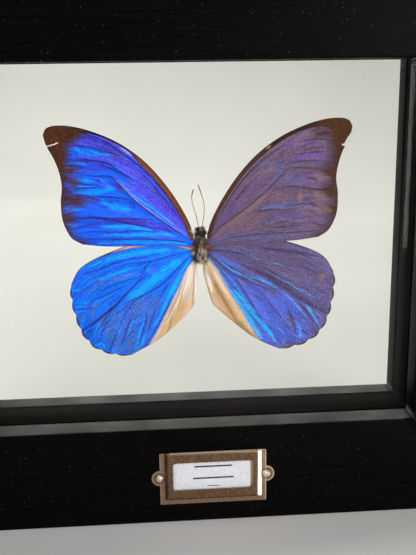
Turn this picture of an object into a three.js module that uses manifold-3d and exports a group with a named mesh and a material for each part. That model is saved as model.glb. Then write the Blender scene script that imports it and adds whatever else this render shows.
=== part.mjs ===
// A butterfly held between two panes of glass in a deep, black-painted wooden box frame.
// Millimetres, +Z up. The front faces -Y. The origin is the middle of the frame's base.

import * as THREE from 'three';
import { ConvexGeometry } from 'three/addons/geometries/ConvexGeometry.js';
import { mergeVertices } from 'three/addons/utils/BufferGeometryUtils.js';
import Module from 'manifold-3d';

const wasm = await Module();
wasm.setup();

// ---------------------------------------------------------------- driving dimensions

// Frame
const frameWidth = 276;
const frameHeight = 242;
const frameDepth = 41;
const mouldingFace = 45;
const lipDepth = 10;
const rabbetWidth = 7;
const mitreGap = 0.1;
const pieceGap = 0.3;

// Glazing, from the front lip backwards
const glassThickness = 2;
const paneGap = 17.5;

// Butterfly
const bodyX = 2.5;
const wingRootY = 2.9;
const wingRootZ = 120;
const wingRise = THREE.MathUtils.degToRad(6);
const wingThickness = 0.5;
const wingStagger = 0.45;
const scallopCount = 7;
const scallopDepth = 0.9;
const antennaRadius = 0.3;
const glueRadius = 2.2;

// Label holder, pressed from one sheet
const holderX = 5;
const sheetThickness = 0.6;
const holderWidth = 46.4;
const holderBottom = 9.3;
const holderTop = 33.4;
const faceProud = 2.2;
const faceHalfWidth = 19.5;
const faceBottom = 12.5;
const stepWidth = 1.7;
const stepDrop = 1.1;
const backPlateThickness = 0.3;
const windowHalfWidth = 17.5;
const windowBottom = 16.4;
const windowTop = 29.4;
const windowCornerRadius = 1.3;
const earRadius = 3.5;
const earX = 23.3;
const earZ = 21.9;
const earHoleRadius = 1.3;

// Screws and card
const screwHeadRadius = 1.9;
const screwHeadHeight = 1.35;
const screwShankRadius = 1.0;
const screwShankLength = 8;
const cardLeft = -14.4;
const cardRight = 21.3;
const cardHeight = 20.2;
const cardThickness = 0.4;

// ---------------------------------------------------------------- sizes worked out from those

const openingWidth = frameWidth - 2 * mouldingFace;
const openingHeight = frameHeight - 2 * mouldingFace;
const frameMiddle = frameHeight / 2;
const frontFace = -frameDepth / 2;
const backFace = frameDepth / 2;
const lipBack = frontFace + lipDepth;
const frontPaneBack = lipBack + glassThickness;
const backPaneFront = frontPaneBack + paneGap;
const backPaneBack = backPaneFront + glassThickness;
const rabbetFill = rabbetWidth - pieceGap;

// ---------------------------------------------------------------- wing outlines

// Each point is [distance out from the body's axis, height above the wing root], on the left.
const forewingEdges = {
  costa: [
    [3, 4.6], [5.2, 11], [10.5, 20.8], [17.5, 30.6], [25.5, 38.9],
    [35, 45.5], [45, 49.9], [53, 52], [59, 52.4], [62.7, 51.4], [64.2, 48.8],
  ],
  outer: [
    [64.2, 48.8], [63.1, 44.4], [60.4, 39], [58.6, 33.5], [57.8, 27.5],
    [58.5, 21.5], [58.4, 14.5], [57, 9.5], [54.6, 5.4], [50.5, 2.7],
  ],
  trailing: [[3, -0.8], [12, 0.1], [25, 0.8], [40, 1.3], [50.5, 2.7]],
};
const hindwingEdges = {
  costa: [[3, -1.2], [10, 1.1], [21, 2.4], [30, 1.5], [40, -1.7], [48, -5.1], [53, -8.8], [56.4, -15]],
  outer: [[56.4, -15], [56.4, -21], [55, -29], [52.4, -37], [47.6, -43.4], [40.5, -47], [32, -48.6]],
  trailing: [
    [3, -6.5], [2.5, -7.6], [1.7, -8.8], [1.5, -11], [1.6, -18.5], [2.4, -24.5],
    [3.5, -27.5], [6.3, -31], [13, -37.2], [21, -43], [32, -48.6],
  ],
};
// The right hindwing's fold lies closer to the body.
const rightHindwingEdges = {
  ...hindwingEdges,
  trailing: [
    [3, -6.5], [2.2, -7.8], [1, -8.8], [0.5, -10.4], [0.7, -13.5], [1.7, -18.7], [3.4, -25.5],
    [4.6, -27.6], [7.4, -30.4], [11.8, -34.8], [17, -39.4], [23, -44], [32, -48.6],
  ],
};

// How each wing was set when it was spread: turned about its root, in degrees, and its size.
const wings = [
  { name: 'forewing_left', side: -1, edges: forewingEdges, turn: 0, size: 1, front: true },
  { name: 'forewing_right', side: 1, edges: forewingEdges, turn: 0.6, size: 1.01, front: true },
  { name: 'hindwing_left', side: -1, edges: hindwingEdges, turn: 0, size: 1, front: false },
  { name: 'hindwing_right', side: 1, edges: rightHindwingEdges, turn: 2.6, size: 1.02, front: false },
];

// ---------------------------------------------------------------- materials

function finish(color, roughness, metalness = 0) {
  return new THREE.MeshStandardMaterial({ color, roughness, metalness });
}

const blackPaint = finish(0x17161a, 0.55);
const clearGlass = finish(0xe6efec, 0.05);
clearGlass.transparent = true;
clearGlass.opacity = 0.25;
const blackLiner = finish(0x1c1a1c, 0.8);
const wingScales = finish(0x2a5ce0, 0.45);
const bodyHair = finish(0x4a4238, 0.95);
const antennaBrown = finish(0x5b3a2c, 0.7);
const clearGlue = finish(0xd8d4c8, 0.3);
const agedBrass = finish(0x8c7260, 0.4, 0.9);
const bareCard = finish(0xf2f2f0, 0.9);
const nickel = finish(0xc8c6c2, 0.25, 1);

// ---------------------------------------------------------------- helpers

const part = new THREE.Group();

function addPiece(name, geometry, material) {
  const mesh = new THREE.Mesh(geometry, material.clone());
  mesh.name = name;
  part.add(mesh);
  return mesh;
}

// A flat outline of [x, z] points, filled in and made solid from y = front to y = back.
function slab(outline, front, back) {
  const shape = new THREE.Shape(outline.map(([x, z]) => new THREE.Vector2(x, z)));
  const geometry = new THREE.ExtrudeGeometry(shape, { depth: back - front, bevelEnabled: false });
  geometry.rotateX(Math.PI / 2);
  geometry.translate(0, back, 0);
  return geometry;
}

function rectangle(left, right, bottom, top) {
  return [[left, bottom], [right, bottom], [right, top], [left, top]];
}

// A rectangle whose corners are quarter circles of the given radius.
function roundedRectangle(left, right, bottom, top, radius, steps = 5) {
  const corners = [[right, top, 0], [left, top, 1], [left, bottom, 2], [right, bottom, 3]];
  return corners.flatMap(([x, z, quarter]) => {
    const centreX = x - Math.sign(x) * radius;
    const centreZ = z === top ? z - radius : z + radius;
    return Array.from({ length: steps + 1 }, (_, step) => {
      const angle = (quarter + step / steps) * (Math.PI / 2);
      return [centreX + radius * Math.cos(angle), centreZ + radius * Math.sin(angle)];
    });
  });
}

// A round rod along Y, from y = front to y = back.
function rodAlongY(x, z, radius, front, back, sides = 24) {
  const geometry = new THREE.CylinderGeometry(radius, radius, back - front, sides);
  geometry.translate(x, (front + back) / 2, z);
  return geometry;
}

function toSolid(geometry) {
  const bare = geometry.clone();
  bare.deleteAttribute('normal');
  bare.deleteAttribute('uv');
  const merged = mergeVertices(bare);
  return new wasm.Manifold(new wasm.Mesh({
    numProp: 3,
    vertProperties: new Float32Array(merged.attributes.position.array),
    triVerts: new Uint32Array(merged.index.array),
  }));
}

function toGeometry(solid) {
  const mesh = solid.getMesh();
  const geometry = new THREE.BufferGeometry();
  geometry.setAttribute('position', new THREE.BufferAttribute(mesh.vertProperties, 3));
  geometry.setIndex(new THREE.BufferAttribute(mesh.triVerts, 1));
  geometry.computeVertexNormals();
  return geometry;
}

// ---------------------------------------------------------------- frame

// One side of a picture-frame loop, cut at 45 degrees at both ends. The loop lies between two
// distances out from the edge of the opening.
function mitredOutline(side, inner, outer) {
  const level = side === 'top' || side === 'bottom';
  const sign = side === 'top' || side === 'right' ? 1 : -1;
  const halfLength = (level ? openingWidth : openingHeight) / 2 - mitreGap;
  const halfAcross = (level ? openingHeight : openingWidth) / 2;
  const corners = [
    [-halfLength - outer, outer],
    [halfLength + outer, outer],
    [halfLength + inner, inner],
    [-halfLength - inner, inner],
  ];
  return corners.map(([along, out]) => {
    const across = sign * (halfAcross + out);
    return level ? [along, frameMiddle + across] : [across, frameMiddle + along];
  });
}

// A frame member is a thick bar with a lip at the front, so that the rabbet behind the lip
// takes the glazing. The bottom one is drilled for the label holder's two screws.
function addMember(name, side) {
  const bar = toSolid(slab(mitredOutline(side, rabbetWidth, mouldingFace), frontFace, backFace));
  const lip = toSolid(slab(mitredOutline(side, 0, mouldingFace), frontFace, lipBack));
  let solid = bar.add(lip);
  if (side === 'bottom') {
    const drillEnd = frontFace + screwShankLength + 1;
    for (const x of [holderX - earX, holderX + earX]) {
      solid = solid.subtract(toSolid(rodAlongY(x, earZ, earHoleRadius, frontFace - 1, drillEnd)));
    }
  }
  addPiece(name, toGeometry(solid), blackPaint);
}

addMember('rail_top', 'top');
addMember('rail_bottom', 'bottom');
addMember('stile_left', 'left');
addMember('stile_right', 'right');

// ---------------------------------------------------------------- glazing

function paneOutline() {
  const halfWidth = openingWidth / 2 + rabbetFill;
  const halfHeight = openingHeight / 2 + rabbetFill;
  return rectangle(-halfWidth, halfWidth, frameMiddle - halfHeight, frameMiddle + halfHeight);
}

addPiece('glass_front', slab(paneOutline(), lipBack, frontPaneBack), clearGlass);
addPiece('glass_back', slab(paneOutline(), backPaneFront, backPaneBack), clearGlass);
for (const side of ['top', 'bottom', 'left', 'right']) {
  const strip = mitredOutline(side, 0, rabbetFill);
  addPiece(`spacer_${side}`, slab(strip, frontPaneBack, backPaneFront), blackLiner);
  addPiece(`back_stop_${side}`, slab(strip, backPaneBack, backFace), blackPaint);
}

// ---------------------------------------------------------------- butterfly

function splinePoints(points, steps) {
  const curve = new THREE.SplineCurve(points.map(([out, up]) => new THREE.Vector2(out, up)));
  return curve.getPoints(steps).map((point) => [point.x, point.y]);
}

// The outer margin, pushed away from the root by a row of shallow scallops between the veins.
function scalloped(points, count, depth) {
  return points.map(([out, up], index) => {
    const wave = Math.abs(Math.sin((Math.PI * count * index) / (points.length - 1)));
    const stretch = 1 + (depth * (wave - 0.5)) / Math.hypot(out, up);
    return [out * stretch, up * stretch];
  });
}

function wingOutline({ edges, side, turn, size, front }) {
  const costa = splinePoints(edges.costa, 28);
  const outer = splinePoints(edges.outer, 42);
  const margin = front ? outer : scalloped(outer, scallopCount, scallopDepth);
  const trailing = splinePoints(edges.trailing, 28).reverse();
  const loop = [...costa, ...margin.slice(1, -1), ...trailing];
  const angle = THREE.MathUtils.degToRad(turn);
  return loop.map(([out, up]) => [
    side * size * (out * Math.cos(angle) - up * Math.sin(angle)),
    size * (out * Math.sin(angle) + up * Math.cos(angle)),
  ]);
}

// Each wing is a thin plate that rises towards the front from the body. The forewings lie in
// front of the hindwings, where they overlap.
for (const wing of wings) {
  const middle = wing.front ? -wingStagger : wingStagger;
  const outline = wingOutline(wing);
  const plate = slab(outline, middle - wingThickness / 2, middle + wingThickness / 2);
  const mesh = addPiece(wing.name, plate, wingScales);
  mesh.position.set(bodyX, wingRootY, wingRootZ);
  mesh.rotation.z = -wing.side * wingRise;
}

// The thorax and the head, turned round the body's axis and a little deeper than they are wide.
// The specimen has no abdomen.
const bodyProfile = [
  [0, 112.6], [1.3, 112.8], [2.1, 114], [2.5, 116.5], [2.6, 119.5], [2.45, 122], [1.8, 123.6],
  [1.55, 124.2], [1.75, 125.2], [1.6, 126.8], [0.9, 127.8], [0, 128],
];
const bodyDepthRatio = 1.15;
const body = new THREE.LatheGeometry(bodyProfile.map(([r, z]) => new THREE.Vector2(r, z)), 28);
body.rotateX(Math.PI / 2);
body.scale(1, bodyDepthRatio, 1);
body.translate(bodyX, wingRootY, 0);
addPiece('body', body, bodyHair);

// Each antenna is a fine curved rod, given by points on its middle line.
const antennae = {
  antenna_left: [[1.9, 1.6, 128], [0.8, 1.2, 133], [-0.6, 0.8, 138], [-1, 0.5, 141.5], [-0.3, 0.2, 144.5]],
  antenna_right: [[3.1, 1.6, 128], [4.1, 1.2, 133], [4.2, 0.8, 138], [3.1, 0.5, 142.5], [1.8, 0.2, 146.5]],
};
for (const [name, points] of Object.entries(antennae)) {
  const path = new THREE.CatmullRomCurve3(points.map((point) => new THREE.Vector3(...point)));
  const section = new THREE.Shape().absarc(0, 0, antennaRadius, 0, 2 * Math.PI);
  const rod = new THREE.ExtrudeGeometry(section, { steps: 16, curveSegments: 4, extrudePath: path });
  addPiece(name, rod, antennaBrown);
}

// A dab of clear glue holds the thorax to the back pane.
const bodyBack = wingRootY + 2.6 * bodyDepthRatio;
const gluePad = rodAlongY(bodyX, 118.5, glueRadius, bodyBack + pieceGap, backPaneFront, 20);
addPiece('glue_dab', gluePad, clearGlue);

// ---------------------------------------------------------------- label holder

const flangeFront = frontFace - sheetThickness;
const faceFront = frontFace - faceProud;
const plateFront = frontFace - backPlateThickness;

// A block between two upright rectangles, each [halfWidth, bottom, top, y], that differ in size.
function taperedBlock(back, front) {
  const corners = [back, front].flatMap(([halfWidth, bottom, top, y]) => (
    rectangle(-halfWidth, halfWidth, bottom, top).map(([x, z]) => new THREE.Vector3(x, y, z))
  ));
  return new ConvexGeometry(corners);
}

// The sheet lies flat on the rail as a flange with two ears, and steps forward to a raised face
// with a window. The pocket behind the face is closed below and open at the top. It is made round
// x = 0 and moved to its place afterwards.
function labelHolder() {
  const halfWidth = holderWidth / 2;
  const flange = roundedRectangle(-halfWidth, halfWidth, holderBottom, holderTop, 0.5);
  let solid = toSolid(slab(flange, flangeFront, frontFace));
  for (const x of [-earX, earX]) {
    solid = solid.add(toSolid(rodAlongY(x, earZ, earRadius, flangeFront, frontFace)));
  }
  solid = solid.add(toSolid(taperedBlock(
    [faceHalfWidth + stepWidth, faceBottom - stepDrop, holderTop, flangeFront + 0.1],
    [faceHalfWidth, faceBottom, holderTop, faceFront],
  )));
  const pocketFront = faceFront + sheetThickness;
  const openTop = holderTop + 5;
  const pocket = taperedBlock(
    [faceHalfWidth + stepWidth - sheetThickness, faceBottom, openTop, plateFront],
    [faceHalfWidth - sheetThickness, faceBottom + sheetThickness, openTop, pocketFront],
  );
  const window = roundedRectangle(
    -windowHalfWidth, windowHalfWidth, windowBottom, windowTop, windowCornerRadius,
  );
  const cuts = [
    pocket,
    slab(window, faceFront - 1, plateFront - 0.5),
    rodAlongY(-earX, earZ, earHoleRadius, faceFront, frontFace + 1),
    rodAlongY(earX, earZ, earHoleRadius, faceFront, frontFace + 1),
  ];
  return cuts.reduce((left, cut) => left.subtract(toSolid(cut)), solid);
}

addPiece('label_holder', toGeometry(labelHolder().translate(holderX, 0, 0)), agedBrass);

const cardBottom = faceBottom + pieceGap;
const cardBack = plateFront - 0.1;
const card = rectangle(cardLeft, cardRight, cardBottom, cardBottom + cardHeight);
addPiece('label_card', slab(card, cardBack - cardThickness, cardBack), bareCard);

// A round-headed screw: a dome on the ear and a shank into the rail, as one turned shape.
function screw(x) {
  const headBack = sheetThickness + 0.05;
  const domeSteps = 6;
  const dome = Array.from({ length: domeSteps + 1 }, (_, step) => {
    const angle = (step / domeSteps) * (Math.PI / 2);
    return [screwHeadRadius * Math.cos(angle), headBack + screwHeadHeight * Math.sin(angle)];
  });
  dome[domeSteps][0] = 0;
  const shank = [
    [0, -screwShankLength],
    [screwShankRadius, -screwShankLength],
    [screwShankRadius, headBack],
  ];
  const profile = [...shank, ...dome];
  const geometry = new THREE.LatheGeometry(profile.map(([r, out]) => new THREE.Vector2(r, out)), 24);
  geometry.rotateX(Math.PI);
  geometry.translate(x, frontFace, earZ);
  return geometry;
}

addPiece('label_screw_left', screw(holderX - earX), nickel);
addPiece('label_screw_right', screw(holderX + earX), nickel);

export default part;
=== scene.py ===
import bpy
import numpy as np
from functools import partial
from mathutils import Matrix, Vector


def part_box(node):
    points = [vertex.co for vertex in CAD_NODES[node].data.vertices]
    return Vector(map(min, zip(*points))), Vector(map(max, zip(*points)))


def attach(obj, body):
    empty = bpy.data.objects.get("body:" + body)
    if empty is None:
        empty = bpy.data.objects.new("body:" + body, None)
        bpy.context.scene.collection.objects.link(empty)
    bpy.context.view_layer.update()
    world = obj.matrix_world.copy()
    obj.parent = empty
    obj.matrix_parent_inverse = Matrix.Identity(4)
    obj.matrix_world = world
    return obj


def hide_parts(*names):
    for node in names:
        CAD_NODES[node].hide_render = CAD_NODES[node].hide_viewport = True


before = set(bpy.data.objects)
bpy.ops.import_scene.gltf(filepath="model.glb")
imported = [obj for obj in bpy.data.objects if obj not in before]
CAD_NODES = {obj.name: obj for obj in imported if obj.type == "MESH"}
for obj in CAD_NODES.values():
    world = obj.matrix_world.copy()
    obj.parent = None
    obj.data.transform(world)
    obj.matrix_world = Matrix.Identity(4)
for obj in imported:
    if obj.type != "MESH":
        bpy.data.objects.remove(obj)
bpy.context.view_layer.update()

# %% [markdown]
# # A butterfly in a double-glazed box frame
#
# The real object is a deep frame of black-painted wood. Two panes of glass sit in it, a finger's
# width apart, and one large blue butterfly floats between them, glued by its thorax to the back
# pane. A pressed metal label holder is screwed to the bottom rail. The frame stands upright, so
# Z is up, the front faces -Y, and every size below is in millimetres until `MM` turns it to metres.

MM = 0.001
rng = np.random.default_rng(11)
print("the frame holds", len(CAD_NODES), "solids")


# %% [markdown]
# ## Two helpers for materials
#
# A paint chip is easiest to write as the hex code that a colour picker shows. Blender's sockets
# want linear light, so one function does the change. A second small function adds a node, sets its
# options and makes its links in one call, which keeps each material short enough to read. A new
# material comes with that function made ready for its own tree, under the name `add`. Sums, mixes
# of two colours, noise and soft steps come up so often that each is kept as a recipe for it.
# A soft step is one value below its low end and another above its high end, with an S-curve
# between them. A noise's scale is in lumps to a metre, so 1000 draws one every millimetre.

# %% Colours and nodes
def hue(code):
    """sRGB hex to linear: ((c + 0.055) / 1.055) ** 2.4, or c / 12.92 where c is below 0.04045."""
    values = np.array([int(code[i:i + 2], 16) for i in (1, 3, 5)]) / 255
    linear = np.where(values <= 0.04045, values / 12.92, ((values + 0.055) / 1.055) ** 2.4)
    return (*linear, 1.0)


PLACE = ("ShaderNodeTexCoord", {}, (), "Object")
FIELD = ("ShaderNodeAttribute", {}, (), "Fac")
NOISE = ("ShaderNodeTexNoise", {}, ("Vector", "Scale", "Detail"), 0)
BUMP = ("ShaderNodeBump", {}, ("Height", "Strength", "Distance"), 0)
BLEND = ("ShaderNodeMix", {"data_type": "RGBA"}, (0, 6, 7), 2)
SOFT_STEP = ("ShaderNodeMapRange", {"interpolation_type": "SMOOTHSTEP"}, range(5), 0)
TIMES, PLUS, MINUS, LARGER, POWER, WITHOUT_SIGN, TIMES_PLUS = (
    ("ShaderNodeMath", {"operation": operation}, range(3), 0)
    for operation in ("MULTIPLY", "ADD", "SUBTRACT", "MAXIMUM", "POWER", "ABSOLUTE", "MULTIPLY_ADD"))


def add_node(tree, kind, *inputs, **settings):
    """Adds one node with its settings and links, and gives it back. Its inputs are a dictionary of plain
    values, which are set, and of other nodes' outputs, which are linked.
    Where kind is one of the recipes above (type, settings, sockets, output), the inputs are given one
    by one in the order of its sockets, and its output comes back."""
    recipe = isinstance(kind, tuple)
    node_type, fixed, sockets, output = kind if recipe else (kind, {}, (), None)
    made = tree.nodes.new(node_type)
    for name, value in {**fixed, **settings}.items():
        setattr(made, name, value)
    named = zip(sockets, inputs) if recipe else dict(*inputs).items()
    for name, value in named:
        if isinstance(value, bpy.types.NodeSocket):
            tree.links.new(value, made.inputs[name])
        else:
            made.inputs[name].default_value = value
    return made.outputs[output] if recipe else made


def new_material(name):
    """An empty node material, and add_node for its tree."""
    material = bpy.data.materials.new(name)
    material.use_nodes = True
    material.node_tree.nodes.clear()
    return material, partial(add_node, material.node_tree)


# %% [markdown]
# ## Helpers for shapes
#
# Every new piece is a grid of points that a formula works out in one go. A sheet of anything real
# has two sides and an edge, so a wing is two grids back to back with a wall round them. A bar is a
# closed profile carried along a path, with a cap at each end. Keeping the wall separate means that
# a tear or a missing nick is only a few cells left out.

# %% Meshes from grids
def make_piece(name, points, faces, material, uv=None, values=None):
    """A mesh in metres from points in millimetres. uv and each list of values are per point."""
    mesh = bpy.data.meshes.new(name)
    mesh.from_pydata((np.asarray(points) * MM).tolist(), [], faces)
    mesh.validate()
    corner = np.zeros(len(mesh.loops), dtype=np.int32)
    mesh.loops.foreach_get("vertex_index", corner)
    if uv is not None:
        layer = mesh.uv_layers.new(name="grain")
        layer.data.foreach_set("uv", np.asarray(uv)[corner].astype(np.float32).ravel())
    for label, numbers in (values or {}).items():
        attribute = mesh.attributes.new(label, "FLOAT", "POINT")
        attribute.data.foreach_set("value", np.asarray(numbers, dtype=np.float32).ravel())
    mesh.polygons.foreach_set("use_smooth", np.ones(len(mesh.polygons), dtype=bool))
    mesh.materials.append(material)
    piece = bpy.data.objects.new(name, mesh)
    bpy.context.scene.collection.objects.link(piece)
    mesh.update()
    return piece


def grid_faces(rows, columns, around=False):
    """Quads of a grid of points, row by row. around joins the last column to the first."""
    index = np.arange(rows * columns).reshape(rows, columns)
    if around:
        index = np.hstack([index, index[:, :1]])
    corners = [index[:-1, :-1], index[1:, :-1], index[1:, 1:], index[:-1, 1:]]
    return np.stack(corners, axis=-1).reshape(-1, 4).tolist()


def end_caps(rows, columns):
    """The two faces that close a tube made by grid_faces with around."""
    last = rows * columns
    return [list(range(columns))[::-1], list(range(last - columns, last))]


def closed_sheet(front, back, kept):
    """Two grids of points joined into one closed skin.
    Each kept cell has a front and a back face, and a wall stands wherever a kept cell meets a
    missing one or the edge. Returns the points, the faces and which points were used."""
    rows, columns = front.shape[:2]
    count = rows * columns
    index = np.arange(count).reshape(rows, columns)
    a, b = index[:-1, :-1], index[1:, :-1]
    c, d = index[1:, 1:], index[:-1, 1:]
    faces = [np.stack([a, b, c, d], -1)[kept], np.stack([d, c, b, a], -1)[kept] + count]
    ringed = np.pad(kept, 1)
    centre = ringed[1:-1, 1:-1]
    sides = [
        (ringed[:-2, 1:-1], a, d),
        (ringed[2:, 1:-1], c, b),
        (ringed[1:-1, :-2], b, a),
        (ringed[1:-1, 2:], d, c),
    ]
    for neighbour, first, second in sides:
        open_edge = centre & ~neighbour
        wall = np.stack([first, second, second + count, first + count], -1)
        faces.append(wall[open_edge])
    faces = np.vstack(faces)
    points = np.vstack([front.reshape(-1, 3), back.reshape(-1, 3)])
    corners = points[faces[0]]
    normal = np.cross(corners[1] - corners[0], corners[3] - corners[0])
    if normal @ (front - back).reshape(-1, 3).mean(axis=0) < 0:
        faces = faces[:, ::-1]
    used, faces = np.unique(faces, return_inverse=True)
    return points[used], faces.reshape(-1, 4).tolist(), used


def spline(points, count):
    """A smooth curve through the points: the Catmull-Rom formula
    p1 + t(p2 - p0)/2 + t^2(p0 - 2.5 p1 + 2 p2 - p3/2) + t^3(1.5(p1 - p2) + (p3 - p0)/2)."""
    known = np.asarray(points, dtype=float)
    known = np.vstack([2 * known[0] - known[1], known, 2 * known[-1] - known[-2]])
    place = np.linspace(0, len(points) - 1, count)
    first = np.minimum(place.astype(int), len(points) - 2)
    t = (place - first)[:, None]
    p0, p1, p2, p3 = (known[first + step] for step in range(4))
    return (p1 + t * (p2 - p0) / 2 + t ** 2 * (p0 - 2.5 * p1 + 2 * p2 - p3 / 2)
            + t ** 3 * (1.5 * (p1 - p2) + (p3 - p0) / 2))


def even_spline(points, count):
    """The same curve with its points evenly spaced along its length."""
    fine = spline(points, 40 * len(points))
    steps = np.linalg.norm(np.diff(fine, axis=0), axis=1)
    along = np.concatenate([[0], np.cumsum(steps)])
    wanted = np.linspace(0, along[-1], count)
    return np.stack([np.interp(wanted, along, fine[:, k]) for k in range(fine.shape[1])], -1)


def distance_to_line(places, line):
    """How far each place is from a line of straight steps, on which side of it (left is +), and what
    share of the line's steps lies before the nearest point."""
    line = np.asarray(line, dtype=float)
    best = np.full(places.shape[:-1], np.inf)
    side = np.ones(places.shape[:-1])
    along = np.zeros(places.shape[:-1])
    for step_number, (start, end) in enumerate(zip(line[:-1], line[1:])):
        step = end - start
        offset = places - start
        share = np.clip((offset @ step) / (step @ step), 0, 1)
        gap = offset - share[..., None] * step
        far = np.linalg.norm(gap, axis=-1)
        turn = step[0] * offset[..., 1] - step[1] * offset[..., 0]
        nearer = far < best
        best = np.where(nearer, far, best)
        side = np.where(nearer, np.sign(turn), side)
        along = np.where(nearer, (step_number + share) / (len(line) - 1), along)
    return best, side, along


def soft_step(value, low, high):
    """0 below low, 1 above high, and 3t^2 - 2t^3 between them."""
    t = np.clip((value - low) / (high - low), 0, 1)
    return t * t * (3 - 2 * t)


# %% [markdown]
# ## The camera and the room
#
# The camera stands a little to the left of the frame's middle, about a third of a metre away, and
# looks down at it. Its direction is easiest to keep as yaw, pitch and roll, and the matrix is built
# from the three unit vectors that they give. The room is one pale sweep: a floor that bends up into
# a wall, so that nothing but clean paper shows behind the glass.

# %% Camera
CAMERA_PLACE = (-18.89, -337.47, 190.81)
CAMERA_YAW, CAMERA_PITCH, CAMERA_ROLL = np.radians([4.125, 14.087, 0.809])
IMAGE_HEIGHT = 555
FOCAL_PIXELS = 800
SENSOR = 36.0


def camera_directions():
    """Unit vectors of the view: ahead from yaw and pitch, and right and down turned by the roll."""
    cy, sy = np.cos(CAMERA_YAW), np.sin(CAMERA_YAW)
    cp, sp = np.cos(CAMERA_PITCH), np.sin(CAMERA_PITCH)
    ahead = np.array([sy * cp, cy * cp, -sp])
    level_right = np.array([cy, -sy, 0])
    level_down = np.cross(ahead, level_right)
    right = np.cos(CAMERA_ROLL) * level_right + np.sin(CAMERA_ROLL) * level_down
    down = np.cos(CAMERA_ROLL) * level_down - np.sin(CAMERA_ROLL) * level_right
    return ahead, right, down


ahead, right, down = camera_directions()
lens = bpy.data.cameras.new("camera")
lens.sensor_width = SENSOR
lens.lens = FOCAL_PIXELS / IMAGE_HEIGHT * SENSOR
lens.clip_start = 0.01
lens.clip_end = 30
camera = bpy.data.objects.new("camera", lens)
bpy.context.scene.collection.objects.link(camera)
facing = Matrix(np.array([right, -down, -ahead]).T.tolist()).to_4x4()
camera.matrix_world = Matrix.Translation(Vector(CAMERA_PLACE) * MM) @ facing
bpy.context.scene.camera = camera
print("lens", round(lens.lens, 2), "mm")


# %% Floor and backdrop
FLOOR_HALF_WIDTH = 2600
FLOOR_FRONT = -1500
WALL_PLACE = 1250
WALL_TOP = 2600
SWEEP_RADIUS = 260
PAPER_CLOUDS = 3.0


def pale_paper(name, colour):
    """Matt backdrop paper: a soft, even white with no gloss and a faint cloudiness."""
    material, add = new_material(name)
    cloud = add(NOISE, add(PLACE), PAPER_CLOUDS)
    tone = add(BLEND, add(SOFT_STEP, cloud, 0.3, 0.7), hue(colour), hue("#f1eee9"))
    paper = add("ShaderNodeBsdfPrincipled", {"Base Color": tone, "Roughness": 0.9})
    paper.inputs["Specular IOR Level"].default_value = 0.1
    add("ShaderNodeOutputMaterial", {"Surface": paper.outputs[0]})
    return material


def sweep_profile():
    """The floor's line, a quarter circle of SWEEP_RADIUS, and the wall's line, as y and z."""
    angle = np.linspace(0, np.pi / 2, 24)
    bend_y = WALL_PLACE - SWEEP_RADIUS + SWEEP_RADIUS * np.sin(angle)
    bend_z = SWEEP_RADIUS - SWEEP_RADIUS * np.cos(angle)
    floor_y = np.linspace(FLOOR_FRONT, bend_y[0], 20)[:-1]
    wall_z = np.linspace(SWEEP_RADIUS, WALL_TOP, 12)[1:]
    y = np.concatenate([floor_y, bend_y, np.full(len(wall_z), WALL_PLACE)])
    z = np.concatenate([np.zeros(len(floor_y)), bend_z, wall_z])
    return y, z


sweep_y, sweep_z = sweep_profile()
sweep_x = np.linspace(-FLOOR_HALF_WIDTH, FLOOR_HALF_WIDTH, 12)
sweep = np.stack(np.broadcast_arrays(sweep_x[:, None], sweep_y, sweep_z), -1)
backdrop = make_piece("backdrop", sweep.reshape(-1, 3), grid_faces(*sweep.shape[:2]),
                      pale_paper("backdrop_paper", "#e9e6e0"))


# %% [markdown]
# ## The light
#
# Blue scales are metal-like: they only glow where a light mirrors in them. Both pairs of wings rise
# towards the front, so the left ones face a little to the right and the right ones a little to the
# left. One tall soft panel at the right front therefore lights up the left wings and leaves the
# right ones dull, and the wings' colours are painted to match: a bright palette on the left wings
# and a dull one on the right. A large panel behind and above lights the floor and skims the ledges,
# another evens out the wall, and a small narrow one from the far right catches only the label
# holder's right-hand step, whose highlight is also painted near white. The room's own light stays
# low, so that the glass and the black paint reflect little.

# %% Lamps and world
def soft_panel(name, place, aim, width, height, watts, colour, spread=180):
    """A rectangular lamp at a place in millimetres, turned to face a point."""
    lamp = bpy.data.lights.new(name, "AREA")
    lamp.shape = "RECTANGLE"
    lamp.size = width * MM
    lamp.size_y = height * MM
    lamp.energy = watts
    lamp.color = hue(colour)[:3]
    lamp.spread = np.radians(spread)
    holder = bpy.data.objects.new(name, lamp)
    holder.location = Vector(place) * MM
    holder.rotation_mode = "QUATERNION"
    holder.rotation_quaternion = (Vector(aim) - Vector(place)).to_track_quat("-Z", "Y")
    holder.visible_camera = False
    bpy.context.scene.collection.objects.link(holder)


soft_panel("wing_panel", (335, -500, 120), (-15, 0, 120), 170, 560, 1.4, "#fffaf2", 110)
soft_panel("label_glint", (520, -24, 32), (27, -22, 22), 24, 34, 0.0165, "#fffdf8", 3)
soft_panel("wall_wash", (0, 500, 1900), (0, 1250, 450), 1800, 300, 2.2, "#fbfdff", 110)
soft_panel("window_panel", (-250, 700, 1150), (0, 100, 0), 1400, 900, 13, "#fffdf8")
soft_panel("front_fill", (-500, -900, 900), (0, 0, 120), 600, 500, 5, "#eef3ff")

world = bpy.data.worlds.new("room")
bpy.context.scene.world = world
world.use_nodes = True
world.node_tree.nodes["Background"].inputs["Color"].default_value = hue("#e6e9ee")
world.node_tree.nodes["Background"].inputs["Strength"].default_value = 0.13
bpy.context.scene.view_settings.view_transform = "Standard"


# %% [markdown]
# ## Black-painted wood
#
# The frame is planed wood under a satin black paint. Black paint shows almost no colour of its own:
# what the eye reads is the soft reflection on it, a faint drag of the brush along each member, and
# dust that lies on the faces that look up. So the gloss is broken up along the grain, the bump is
# far longer than it is wide, and a fine grey speckle grows with how much a face looks up.

# %% Satin paint
GRAIN_WIDTH = 0.9
GRAIN_LENGTH = 45
DUST_SPECK = 0.55
DUST_CLOUDS = 45.0


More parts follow.
